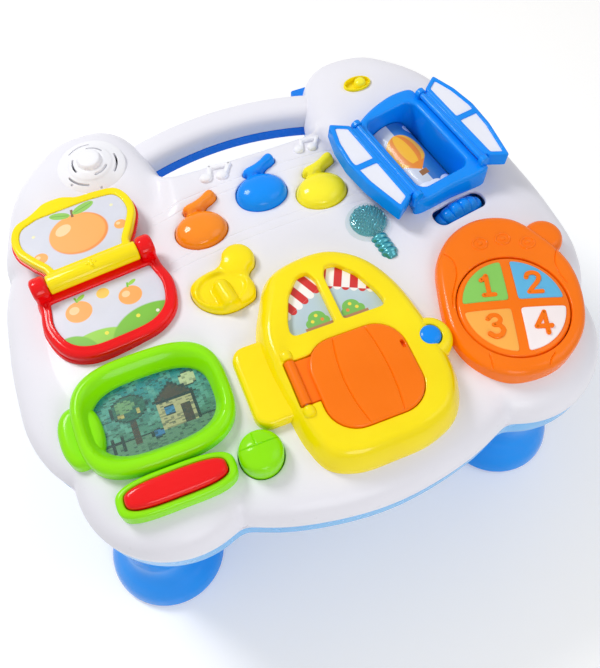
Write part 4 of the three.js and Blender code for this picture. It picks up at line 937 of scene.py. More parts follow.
@dataclass
class Unit:
    """A unit on the panel: its place, its turn and the pieces made about its own middle."""

    x: float = 0.0
    y: float = 0.0
    degrees: float = 0.0

    def put(self, form: Form) -> Form:
        """A form about the unit's middle, set in its place on the panel."""
        return form.turned(2, self.degrees).shifted(self.x, self.y)

    def piece(
        self, name: str, form: Form, finish: object, *rest: object, **more: object
    ) -> bpy.types.Object:
        """A piece made of a form about the unit's middle, with make_piece's other arguments."""
        return make_piece(name, self.put(form), finish, *rest, **more)

    def hole(self, loop: np.ndarray, rim: float) -> np.ndarray:
        """The shell's hole for a unit: its outline less the rim that lies on the shell."""
        return placed(inset(loop, rim), self.x, self.y, self.degrees)

    def card(self, name: str, ground: Color, *rows: tuple) -> Card:
        """A printed card about the unit's middle, with its shapes as rows."""
        return Card(name, ground, drawn(*rows), self.x, self.y, self.degrees)


# Shell, tray, handle and legs

BODY_FRONT = [
    (0, -1), (0.3, -0.933), (0.48, -0.82), (0.64, -0.68), (0.8, -0.52), (0.94, -0.3), (0.995, -0.08)
]
BODY_BACK = [
    (1, 0.16), (
        0.985, 0.42
    ), (0.95, 0.68), (0.86, 0.92), (0.68, 1.04), (0.45, 1.04), (0.3, 1.012), (0, 1),
]
REAR_LOBE = [
    (-0.98, -0.2), (-0.9, 0.4), (-0.72, 0.8), (-0.5, 0.96), (-0.22, 1), (0.17, 0.94), (0.5, 0.74),
    (0.86, 0.38), (1.08, -0.12), (1.16, -0.6), (0.5, -1), (-0.5, -0.9),
]
BODY_PROFILE = [
    (0, 1), (0.25, 1), (0.58, 0.94), (0.79, 0.83), (0.9, 0.68), (0.96, 0.49), (0.992, 0.22), (1, 0)
]
LOBE_PROFILE = [(0, 1), (0.3, 1), (0.6, 0.95), (0.82, 0.77), (0.93, 0.52), (0.985, 0.2), (1, 0)]
PAGE = [(0, -1), (0.55, -0.96), (0.86, -0.79), (1, -0.46), (0.95, -0.2), (0.88, 0.05)]
LEAF = [
    (0.69, 0), (
        0.69, 0.15
    ), (0.85, 0.34), (1, 0.56), (0.98, 0.78), (0.85, 0.93), (0.5, 0.99), (0.22, 1.01),
    (0.1, 1.05), (
        -0.02, 1.085
    ), (-0.32, 1.085), (-0.46, 1.035), (-0.6, 0.985), (-0.85, 0.92), (-0.98, 0.78),
    (-1, 0.56), (-0.85, 0.34), (-0.69, 0.15), (-0.69, 0),
]
FRAME = [
    (-1, -0.86), (-1.04, -1), (0, -1.04), (1.04, -1.04), (1, -0.88), (1, 0.75), (0.93, 0.93), (0.5, 1),
    (0, 0.97), (-0.5, 0.88), (-0.85, 0.76), (-1, 0.62),
]
SHUTTER = [(0, 0.72), (0.6, 0.9), (0.88, 0.5), (1, 0.08), (0.93, -0.4), (0.62, -1.08), (0, -0.92)]
CAR_WINDOW = [
    (0, 0), (0, 0.82), (0.12, 1), (0.36, 0.98), (0.7, 0.7), (0.94, 0.28), (1, 0.08), (0.94, 0),
]
CABIN = [
    (0, -1), (0.43, -0.975), (0.78, -0.86), (0.97, -0.62), (1.02, -0.33), (0.98, 0.03), (0.86, 0.48),
    (0.62, 0.8), (0.26, 0.98), (-0.15, 1), (-0.54, 0.91), (-0.77, 0.65), (-0.94, 0.36), (-0.97, 0.05),
    (-0.92, -0.36), (-0.86, -0.66), (-0.73, -0.88), (-0.44, -0.985),
]
PHONE = [
    (0, -1), (0.38, -0.9), (
        0.72, -0.66
    ), (0.95, -0.25), (1, 0.12), (0.86, 0.52), (0.6, 0.86), (0.15, 1),
    (-0.3, 0.92), (-0.66, 0.66), (-0.86, 0.28), (-1, -0.25), (-0.9, -0.62), (-0.52, -0.93),
]
NUMERALS = {
    1: [[(-3.2, 4.4), (-0.8, 5.9), (0.4, 7.4)], [(0.4, 7.4), (0.4, -7.2)], [(-3.2, -7.2), (4.0, -7.2)]],
    2: [
        [
            (-4.2, 4.0), (-2.8, 6.8), (0.4, 7.6), (3.6, 6.2), (4.2, 3.2), (2.0, -0.4), (-1.6, -4.0),
            (-4.4, -7.2)
        ],
        [(-4.4, -7.2), (4.4, -7.2)],
    ],
    3: [
        [(-4.2, 5.2), (-1.4, 7.4), (2.2, 7.0), (3.8, 4.4), (2.4, 1.6), (-0.8, 0.6)],
        [(-0.8, 0.6), (2.9, -0.2), (4.6, -3.4), (2.6, -6.8), (-1.2, -7.6), (-4.6, -5.4)],
    ],
    4: [[(2.0, -7.6), (2.0, 7.4)], [(2.0, 7.4), (-4.8, -2.8)], [(-4.8, -2.8), (5.0, -2.8)]],
}
NOTE_LOOP = [
    (
        9.5, -13.4
    ), (16.5, -7.8), (19, 0), (16.8, 7.2), (11.5, 12.4), (7.6, 14.6), (9.5, 17.2), (14.5, 19.4),
    (
        18.6, 22.2
    ), (18.8, 26.4), (16, 29.2), (11.5, 28.4), (7, 25), (1.5, 22.9), (-3.6, 22), (-7.4, 19.6),
    (-7.6, 16.6), (-5.2, 14.9), (-9.5, 13.2), (-16.5, 7.8), (-19, 0), (
        -16.5, -7.8
    ), (-9.5, -13.4), (0, -15.5),
]
DUMMY_LOOP = [
    (-21, 3.4), (-19, -4.5), (
        -14.7, -10.4
    ), (-6.3, -16), (2, -17.2), (10.5, -16), (18.9, -12.4), (21.4, -4),
    (20.4, 3.2), (22, 7.6), (26.6, 11.4), (29, 18), (27.4, 25), (22, 29.8), (15, 30.2), (8.6, 26.6),
    (5.6, 20.6), (0.8, 17.4), (-5.5, 16.4), (-14.5, 13.6), (-19.6, 9.4),
]


@dataclass
class Shell:
    """The white top shell and the blue tray with the carry handle between the rear lobes."""

    half_width: float = 204.0
    front: float = 134.0
    back: float = 144.0
    body_middle: float = -8.0
    crown: float = 31.0
    front_lobe: tuple = (122.0, -58.0, 62.0, 27.0)
    rear_lobe: tuple = (118.0, 152.0, 60.0, 67.0)
    tray_depth: float = 24.0
    wall: float = 2.5
    lip: float = 0.9
    blend: float = 1.6
    rear_legs: tuple = (148.0, 150.0)
    front_legs: tuple = (151.5, -61.0)
    screws: tuple = ((-62, -40), (62, -40), (-62, 60), (62, 60), (0, -100), (0, 110))
    handle_reach: float = 84.0
    handle_back: float = 194.5
    handle_bow: float = 15.5
    handle_half: tuple = (12.0, 13.0)
    gap_edge: tuple = (6.5, 30.5)
    lobes: list = field(default_factory=list)
    rim: np.ndarray = field(default_factory=lambda: np.zeros((0, 2)))

    def __post_init__(self) -> None:
        """Works out the lobes and the rim that goes round them all."""
        shares = mirrored(
            [(x * self.half_width, y * self.front) for x, y in BODY_FRONT]
            + [(x * self.half_width, y * self.back) for x, y in BODY_BACK]
        )
        body = even_loop(spline(shares), 1.6)
        body = np.roll(body, -int(np.argmin(np.hypot(body[:, 0], body[:, 1] + self.front))), axis=0)
        self.lobes = [(body, (0.0, self.body_middle), self.crown, BODY_PROFILE)]
        x, y, radius, height = self.front_lobe
        rx, ry, half, depth = self.rear_lobe
        for side in (1, -1):
            circle = placed(oval(radius, radius, spacing=1.6), side * x, y)
            self.lobes.append((circle, (side * x, y), height, LOBE_PROFILE))
            points = [(side * (rx + px * half), ry + py * depth) for px, py in REAR_LOBE]
            self.lobes.append(
                (even_loop(spline(points), 1.6), (side * rx, ry), self.crown, LOBE_PROFILE)
            )
        self.rim = self.around()

    def around(self) -> np.ndarray:
        """The outline round all lobes: the runs of each loop that lie outside the others."""
        body = self.lobes[0][0]
        clear = np.ones(len(body), bool)
        arcs = []
        in_body = gauge(body, self.lobes[0][1])
        for loop, middle, _, _ in self.lobes[1:]:
            clear &= gauge(loop, middle)(*body.T) > 1
            out = in_body(*loop.T) > 1
            first = int(np.flatnonzero(out & ~np.roll(out, 1))[0])
            arcs.append(np.roll(loop, -first, axis=0)[: int(out.sum())])
        runs = np.flatnonzero(clear)
        parts = np.split(body[runs], np.flatnonzero(np.diff(runs) > 1) + 1)
        front_right, rear_right, front_left, rear_left = arcs
        order = [
            parts[0], front_right, parts[1], rear_right, parts[2], rear_left, parts[3], front_left,
            *parts[4:]
        ]
        return softened(even_loop(np.vstack(order), 2.0), 10)

    def height(self, x: np.ndarray, y: np.ndarray) -> np.ndarray:
        """The soft maximum of the lobes: the logarithm of the sum of their exponentials."""
        total = np.zeros_like(x)
        for loop, middle, high, profile in self.lobes:
            table = spline(np.array(profile), closed=False)
            share = gauge(loop, middle)(x, y)
            rise = np.interp(share, table[:, 0], table[:, 1]) * high
            rise -= np.maximum(share - 1, 0) * 400
            total += np.exp(np.clip(rise / self.blend, -60, 60))
        return self.blend * np.log(np.maximum(total, 1e-12))

    def top(self, x: np.ndarray, y: np.ndarray) -> np.ndarray:
        """The height of the shell, held down near its rim by a power of the distance from it.

        Beside the gap of the handle the edge is a quarter circle instead, by a smooth weight.
        """
        gap = distance(np.column_stack([x, y]), self.rim)
        rise = np.minimum(self.height(x, y), 9.0 * gap**0.42)
        shares = np.clip([(74 - np.abs(x)) / 18, (y - 92) / 24, (160 - y) / 14], 0, 1)
        near = np.prod(shares**2 * (3 - 2 * shares), axis=0)
        radius, high = self.gap_edge
        ledge = high * np.sqrt(1 - (1 - np.clip(gap / radius, 0, 1)) ** 2)
        rise += near * np.maximum(ledge - rise, 0)
        return self.lip + np.maximum(rise, 0) * (1 - self.lip / self.crown)

    def under(self, x: np.ndarray, y: np.ndarray) -> np.ndarray:
        """The height of the shell's inner face."""
        return np.maximum(self.top(x, y) - self.wall, 0.3)

    def build(self, holes: Sequence[np.ndarray]) -> None:
        """Makes the shell, its raised notes, the tray and the handle."""
        rings = (0.15, 0.4, 0.9, 1.7, 2.8, 4.3, 6.2, 8.6)
        openings = [Opening(loop, lip=0.7) for loop in holes]
        shell = moulded(
            self.rim, 0.3, self.top, 0.0, openings, 3.1, 3, under=self.under, extra_rings=rings,
            creases=self.stave(), crease_depth=0.3,
        )
        # The raised notes take the lighter white: painted light on the shell's own plastic.
        notes = self.double_note(-26.5, 132.5, 1.0).plus(self.double_note(45.5, 132.0, 0.85))
        make_piece("shell_notes", notes, GRILLE_WHITE, slot="white")
        make_piece("shell_skin", shell, WHITE, replaces=["top_shell"], slot="white", crease=50)
        self.build_tray()
        self.build_handle()

    def build_tray(self) -> None:
        """The tray: a moulding upside down with a large lower edge."""
        loop = inset(self.rim, 1.1)
        low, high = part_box("battery_door")
        half = (np.array(high[:2]) - np.array(low[:2])) / MM / 2 + 0.3
        openings = [Opening(placed(rounded_box(*half, 1.0), 0, 0), 21.0, 0.4)]
        for spot in self.screws:
            openings.append(Opening(placed(oval(4.2, 4.2), *spot), 12.0, 0.6))
        tray = moulded(loop, 0.0, self.tray_depth, 8.0, openings, 5.0, 7).underside()
        # The tray band gets the lighter copy of the bottom shell's blue: painted light.
        make_piece("tray_skin", tray, TRAY_LIT_BLUE, replaces=["bottom_shell"], slot="tray")

    def build_handle(self) -> None:
        """The bowed handle: its path bows back in Y, and its section is split at the rim plane."""
        reach = self.handle_reach
        x = np.linspace(-reach, reach, 90)
        bow = self.handle_bow * (x / reach) ** 2
        path = np.column_stack([x, self.handle_back - bow, np.zeros_like(x)])
        upper = rounded_box(*self.handle_half, 9, 0.9) + [0, 3]
        upper[:, 1] = np.maximum(upper[:, 1], 0.3)
        lower = rounded_box(*self.handle_half, 1.2, 0.9) + [0, 3]
        lower[:, 1] = np.minimum(lower[:, 1], 0.0)
        upper, lower = (even_loop(section, 0.9) for section in (upper, lower))
        make_piece("handle_top", swept(path, upper), WHITE, slot="white")
        ear = moulded(placed(rounded_box(7.0, 5.0, 2.0, 0.6), 72.0, 205.0), -8.0, 4.5, 1.0, [], 1.4, 3)
        # The handle's underside gets the darker copy of the bottom shell's blue: painted shade.
        make_piece("handle_under", swept(path, lower).plus(ear), HANDLE_SHADED_BLUE, slot="tray")

    def double_note(self, x: float, y: float, size: float) -> Form:
        """Two round heads on leaning stems under one beam, raised from the shell."""
        level = float(self.top(np.array([float(x)]), np.array([float(y)]))[0])
        heads = ((-5.6, -3.2), (6.2, -4.6))
        lines = (((-2.4, -2.0), (-0.2, 5.6)), ((9.4, -3.4), (14.2, 3.6)), ((-1.0, 4.8), (14.6, 3.0)))
        forms = []
        for px, py in heads:
            loop = placed(oval(4.8 * size, 4.0 * size, 2, 0.6), px * size, py * size)
            forms.append(
                moulded(loop, level - 4, dome(loop, level + 0.8, level + 3.2), 0.8, [], 1.1, 5)
            )
        for start, stop in lines:
            low, high = np.array(start) * size, np.array(stop) * size
            along = high - low
            reach = float(np.hypot(*along)) / 2
            bar = rounded_box(reach + 1.2, 1.8 * size, 1.4, 0.5)
            turn = math.degrees(math.atan2(along[1], along[0]))
            forms.append(
                moulded(placed(bar, *((low + high) / 2), turn), level - 4, level + 2.4, 1.3, [], 1.1, 5)
            )
        return forms[0].plus(*forms[1:]).shifted(x, y)

    def stave(self) -> list[np.ndarray]:
        """Fine lines that cross the panel behind the buttons like a stave."""
        x, levels = np.linspace(-78, 84, 150), (122, 114.5, 78, 70.5)
        return [np.column_stack([x, level - 6 * (x / 84) ** 2 + 0.04 * x]) for level in levels]

    def build_legs(self) -> None:
        """Round legs on flared feet, each a turned profile."""
        foot = [
            (0, 0), (42, 0), (45, 0.8), (46, 3), (45.4, 7.5), (43.4, 14), (39, 22), (34, 29), (30.5, 35)
        ]
        shaft = [
            (28.2, 42), (27.2, 50), (27, 62), (27, 110), (27, 155.7), (20, 156), (20, 166), (0, 167.7)
        ]
        rows = np.array(foot + shaft, float)
        dense = np.vstack([rows[:2], spline(rows[1:15], closed=False, steps=8)[1:], rows[15:]])
        leg = lathed(dense, 96).shifted(z=-180)
        for name, (x, y) in {
            "leg_front_left": (-self.front_legs[0], self.front_legs[1]),
            "leg_front_right": self.front_legs,
            "leg_rear_left": (-self.rear_legs[0], self.rear_legs[1]),
            "leg_rear_right": self.rear_legs,
        }.items():
            make_piece(f"{name}_skin", leg.shifted(x, y), LEG, replaces=[name], slot="blue")


@dataclass
class Book(Unit):
    """The two-leaved book: a base page, knuckles, and a leaf that folds over it."""

    x: float = -128.0
    y: float = 76.5
    degrees: float = 5.0
    page: tuple = (45.5, 60.0, 38.0)
    leaf: tuple = (43.0, 62.0, 5.5)
    hinge: float = 43.5
    tilt: float = -3.5
    spine: float = 31.5

    def page_loop(self, spacing: float = 1.2) -> np.ndarray:
        """The outline of the base page about the hinge."""
        return share_loop(mirrored(PAGE), self.page[0], self.page[1], spacing)

    def shell_hole(self) -> np.ndarray:
        """The hole that the shell needs under the page."""
        return self.hole(self.page_loop(2.5), 6)

    def build(self) -> None:
        """Makes the page, its card and the leaf."""
        loop = self.page_loop()
        high = self.page[2]
        picture = inset(loop, 7.6)
        picture[:, 1] = np.minimum(picture[:, 1], -9.6)
        picture = softened(even_loop(picture, 1.0), 5)
        step = smooth_step_from(loop, 4.4, 5.2, high - 1.1, high)
        rings = (4.4, 4.7, 4.95, 5.2)
        base = moulded(
            loop, FOOT, step, 4.0, [Opening(picture, high - 2.6, 1.3)], 2.2, 7, extra_rings=rings
        )
        foot = moulded(inset(loop, -0.9), FOOT, high - 8.5, 1.2, [], 3.0, 4)
        knuckles = [self.knuckle(side) for side in (-1, 1)]
        self.piece("book_page", base.plus(foot, *knuckles), RED, replaces=["book_base"], slot="red")
        card = sheet(picture, high - 2.2)
        self.piece("book_picture", card, self.page_art(), replaces=["book_page_card"], slot="card")
        self.build_leaf()

    def knuckle(self, side: int) -> Form:
        """A barrel along the hinge with rounded ends, on a saddle."""
        turn = np.linspace(0, np.pi / 2, 7)
        half, corner = 5.5, 3.2
        end = np.column_stack([8 - corner * (1 - np.sin(turn)), half - corner + corner * np.cos(turn)])
        rows = np.vstack([[0, -half], end * [1, -1], end[::-1], [0, half]])
        barrel = lathed(rows, 48).turned(1, 90)
        saddle = moulded(rounded_box(5.2, 5.6, 2.5), 30, self.hinge, 1.0, [], 2.5, 4).shifted(0, -1.6)
        return barrel.shifted(z=self.hinge).plus(saddle).shifted(side * (self.spine + 5.8))

    def build_leaf(self) -> None:
        """The leaf: a yellow frame on its spine, a card in it and a red cover under it."""
        half, length, thick = self.leaf
        loop = share_loop(LEAF, half, length)
        loop = even_loop(np.column_stack([loop[:, 0], np.maximum(loop[:, 1], 2.6)]), 1.2)
        picture = inset(share_loop(LEAF, half, length * 0.985), 5.4)
        picture[:, 1] = np.clip(picture[:, 1], 8.4, length - 6.2)
        picture = softened(even_loop(picture, 1.0), 5)
        frame_form = moulded(
            loop, -thick / 2, thick / 2, 1.9, [Opening(picture, thick / 2 - 1.5, 0.8)], 2.2, 6
        )
        end = self.spine
        spine = lathed(
            [(0, -end), (5.6, -end), (6.3, 0.4 - end), (6.5, 1 - end), (6.5, end - 1), (6.3, end - 0.4),
             (5.6, end), (0, end)], 56,
        ).turned(1, 90)
        mark = moulded(rounded_box(1.1, 3.4, 0.9, 0.5), 5.0, 7.1, 0.5, [], 1.0, 4)
        wings = [
            moulded(placed(rounded_box(1.5, 1.2, 0.9, 0.5), side * 2.3, 0), 5.2, 6.9, 0.4, [], 1.0, 4)
            for side in (-1, 1)
        ]
        cover_loop = inset(loop, -1.25)
        cover_loop = even_loop(
            np.column_stack([cover_loop[:, 0], np.maximum(cover_loop[:, 1], 7.4)]), 1.2
        )
        cover = moulded(cover_loop, 0, 2.5, 0.8, [], 4.0, 4).shifted(z=-thick / 2 - 2.8)
        card = sheet(picture, thick / 2 - 1.1)
        for name, form, finish, node, slot in (
            ("leaf_ring", frame_form.plus(spine, mark, *wings), YELLOW, "leaf_frame", "yellow"),
            ("leaf_picture", card, self.leaf_art(), "leaf_card", "card"),
            ("leaf_back", cover, RED, "leaf_cover", "red"),
        ):
            opened = form.turned(0, self.tilt).shifted(z=self.hinge)
            self.piece(name, opened, finish, "leaf", [node], slot)

    def page_art(self) -> Card:
        """Green hills with round fruit."""
        grass, light, fruit, pale, petal = (
            linear(116, 188, 30), linear(150, 210, 60), linear(250, 166, 78), linear(252, 206, 150),
            linear(236, 226, 60),
        )
        return self.card(
            "card_hills",
            PAPER,
            (DISC, -20, -23, 9.0, 8.0, fruit),
            (DISC, -22.5, -21, 3.4, 3.0, pale),
            (BOX, -19, -13.8, 0.7, 2.2, grass, 12),
            (DISC, -15.6, -13.4, 3.4, 1.5, light, 24),
            (DISC, 15, -26, 8.0, 7.2, fruit),
            (DISC, 12.6, -24, 2.8, 2.5, pale),
            (BOX, 16, -17.8, 0.7, 2.0, grass, -14),
            (DISC, 19.4, -17.0, 3.2, 1.4, light, 20),
            (DISC, -1, -16.5, 4.4, 4.0, linear(244, 198, 74)),
            (DISC, -18, -57, 26, 16, light),
            (DISC, 20, -58, 28, 21, grass),
            (DISC, -34, -58, 18, 20, grass),
            (DISC, -9, -46, 1.4, 1.4, petal),
            (DISC, 14, -43, 1.4, 1.4, petal),
            (DISC, 27, -45, 1.2, 1.2, linear(240, 240, 220)),
        )

    def leaf_art(self) -> Card:
        """A large round fruit with leaves, and two small ones."""
        fruit, shade, pale = linear(250, 172, 84), linear(240, 142, 54), linear(253, 212, 158)
        leaf, vein, dot = linear(140, 198, 80), linear(104, 168, 60), linear(240, 236, 190)
        return self.card(
            "card_fruit",
            PAPER,
            (DISC, 1, 31, 20.5, 17.5, shade),
            (DISC, 0.2, 31.8, 19.5, 16.5, fruit),
            (DISC, -8, 38, 6.0, 4.2, pale, 24),
            (BOX, 2, 49.5, 0.9, 3.4, linear(128, 92, 50), -10),
            (DISC, 10.5, 51, 8.4, 3.4, leaf, 14),
            (BOX, 10.5, 51, 7.0, 0.3, vein, 14),
            (DISC, -6.5, 51, 7.2, 3.0, leaf, -22),
            (BOX, -6.5, 51, 6.0, 0.3, vein, -22),
            (DISC, -29, 22, 5.0, 4.5, fruit),
            (DISC, -30.5, 23.4, 1.8, 1.5, pale),
            (DISC, 29, 25, 4.4, 4.0, fruit),
            (DISC, 27.8, 26.4, 1.5, 1.3, pale),
            (DISC, -28, 42, 1.2, 1.2, dot),
            (DISC, 29, 44, 1.2, 1.2, dot),
        )


@dataclass
class Window(Unit):
    """The window: a frame over a picture roller, two shutters and a thumbwheel."""

    x: float = 118.0
    y: float = 96.0
    degrees: float = 11.0
    top: float = 44.0
    axis_x: float = 29.0
    axis_z: float = 47.0
    rest: tuple = (6.0, -4.0)
    roller_z: float = 9.0
    wheel_y: float = -58.0

    def frame_loop(self, spacing: float = 1.2) -> np.ndarray:
        """The outline of the frame."""
        points = np.array(FRAME) * [30.0, 46.0]
        return even_loop(spline(points), spacing)

    def shell_holes(self) -> list[np.ndarray]:
        """The holes that the shell needs under the frame and round the thumbwheel."""
        slot = placed(rounded_box(22, 7.5, 6.5), 0, self.wheel_y)
        wheel_hole = placed(slot, self.x, self.y, self.degrees)
        return [self.hole(self.frame_loop(2.5), 4), wheel_hole]

    def build(self) -> None:
        """Makes the frame, its shutters, the roller and the thumbwheel."""
        opening = placed(rounded_box(21.5, 35.5, 7), 0, -2.5)
        frame_form = moulded(
            self.frame_loop(), FOOT, self.top, 3.4, [Opening(opening, None, 2.4)], 2.0, 8
        )
        lugs = [self.lug(side, y) for side in (-1, 1) for y in (32.3, -43.3)]
        self.piece(
            "window_surround", frame_form.plus(*lugs), BLUE, replaces=["window_frame"], slot="blue"
        )
        for side, name, rest in ((-1, "left", self.rest[0]), (1, "right", self.rest[1])):
            axis = (side * self.axis_x, 0, self.axis_z)
            body = f"{name}_shutter"
            slab = self.shutter(side).turned(1, -side * rest).shifted(*axis)
            self.piece(f"shutter_{name}_form", slab, BLUE, body, [f"shutter_{name}"], "blue")
            panes = [moulded(pane, -0.6, 0.9, 0.2, [], 2.4, 2) for pane in self.panes(side, 2.6)]
            plates = panes[0].plus(*panes[1:]).turned(1, -side * rest).shifted(*axis)
            self.piece(f"shutter_{name}_panes", plates, PANE, body, slot="white")
        self.build_roller()

    def lug(self, side: int, y: float) -> Form:
        """An eye that carries the shutter's pin."""
        rows = [(0, -2), (3.4, -2), (3.9, -1.5), (3.9, 1.5), (3.4, 2), (0, 2)]
        eye = lathed(rows, 36).turned(0, 90).shifted(side * self.axis_x, y, self.axis_z)
        stem = moulded(rounded_box(3.8, 1.9, 0.8), 38, self.axis_z, 0.3, [], 2.0, 3)
        return eye.plus(stem.shifted(side * self.axis_x, y))

    def shutter_points(self, side: int) -> np.ndarray:
        """The corner points of a shutter about its axis."""
        gap, reach, half = 5.2, 27.5, 46.0
        return np.array([(gap + x * (reach - gap), y * half) for x, y in SHUTTER]) * [side, 1]

    def panes(self, side: int, rim: float) -> list[np.ndarray]:
        """The outlines of a shutter's two panes, by their distance from its edge."""
        loops = []
        for low, high in ((-60.0, -5.4), (-0.6, 60.0)):
            pane = inset(even_loop(self.shutter_points(side), 0.9), rim)
            pane[:, 1] = np.clip(pane[:, 1], low - 3.4 + rim, high + 3.4 - rim)
            loops.append(softened(even_loop(pane, 0.7), 3))
        return loops

    def shutter(self, side: int) -> Form:
        """A shutter about its axis: a slab with two panes cut through, and its barrel."""
        loop = softened(even_loop(self.shutter_points(side), 0.9), 4)
        panes = [Opening(pane, None, 0.9) for pane in self.panes(side, 3.4)]
        slab = moulded(loop, -9, 2, 1.5, panes, 1.8, 6)
        web = moulded(rounded_box(2.5, 35.2, 0.6), -5.0, 1.7, 0.6, [], 3.0, 4).shifted(side * 5.8, -5.5)
        barrel = lathed(
            [(0, -35.5), (2.3, -35.5), (2.3, 35.5), (0, 35.5)], 32
        ).turned(0, -90).shifted(0, -5.5)
        tongue = moulded(
            rounded_box(2.2, 34.8, 0.4), -1.2, 1.2, 0.3, [], 3.0, 3
        ).shifted(side * 2.2, -5.5)
        return slab.plus(web, barrel, tongue)

    def build_roller(self) -> None:
        """The roller with its picture on a UV map, and the thumbwheel with its ribs."""
        half, middle, radius, sides = 34.5, -2.5, 20.4, 120
        across = np.linspace(-half, half, 36)
        rows = np.vstack([[0, -half], np.column_stack([np.full(36, radius), across]), [0, half]])
        drum = lathed(rows, sides).turned(0, 90).shifted(0, middle)
        roller = self.piece(
            "roller_picture", drum.shifted(z=self.roller_z), self.roller_art(), "roller",
            ["picture_roller"], "card",
        )
        count = len(roller.data.loops)
        corner = np.zeros(count, np.int32)
        roller.data.loops.foreach_get("vertex_index", corner)
        angle = np.arctan2(drum.points[:, 0], drum.points[:, 2])[corner]
        owner = np.zeros(len(roller.data.polygons), np.int32)
        roller.data.polygons.foreach_get("loop_total", owner)
        face = np.repeat(np.arange(len(owner)), owner)
        seam = np.zeros(len(owner))
        np.maximum.at(seam, face, angle)
        angle = np.where((angle < 0) & (seam[face] > 2), angle + 2 * np.pi, angle)
        layer = roller.data.uv_layers.new(name="UVMap")
        place = np.column_stack([angle * radius, drum.points[corner, 1]])
        layer.data.foreach_set("uv", place.astype(np.float32).ravel())
        self.build_wheel()

    def build_wheel(self) -> None:
        """The thumbwheel: its radius falls off toward its sides and dips between eighteen ribs."""
        across = np.linspace(-6.5, 6.5, 19)
        crown = 25 - 5.5 * np.abs(across / 6.5) ** 2.4
        rows = np.vstack([[0, -6.5], np.column_stack([crown, across]), [0, 6.5]])

        def ribs(angle: np.ndarray, height: np.ndarray) -> np.ndarray:
            """How far the rim dips between the ribs."""
            return -2.2 * (1 - np.abs(np.cos(9 * angle)) ** 0.5) * (1 - 0.5 * (height / 6.5) ** 2)

        wheel = lathed(rows, 360, ribs).turned(0, 90).shifted(0, self.wheel_y, self.roller_z)
        self.piece("wheel_form", wheel, BLUE, "roller", ["thumbwheel"], "blue", crease=60)

    def roller_art(self) -> Card:
        """A striped balloon over clouds, with a pale side where the picture changes."""
        gold, amber, cloud = linear(252, 188, 40), linear(240, 138, 30), linear(240, 244, 250)
        return Card(
            "card_balloon",
            linear(214, 220, 226),
            drawn(
                (BOX, 21, 0, 22, 60, linear(40, 116, 190)),
                (DISC, 20, 25, 9, 4.6, cloud),
                (DISC, -2, 5, 14.5, 15.5, gold),
                (DISC, -2, 5, 9.6, 15.5, amber),
                (DISC, -2, 5, 4.6, 15.5, gold),
                (WEDGE, -2, -12, 8.0, 4.0, amber, 180),
                (BOX, -2, -18.5, 3.2, 2.4, linear(150, 96, 50)),
                (DISC, -12, -30, 9, 4.6, cloud),
                (DISC, -3, -32, 8, 4.2, cloud),
                (DISC, 14, -31, 10, 4.4, cloud),
            ),
            uses_uv=True,
        )


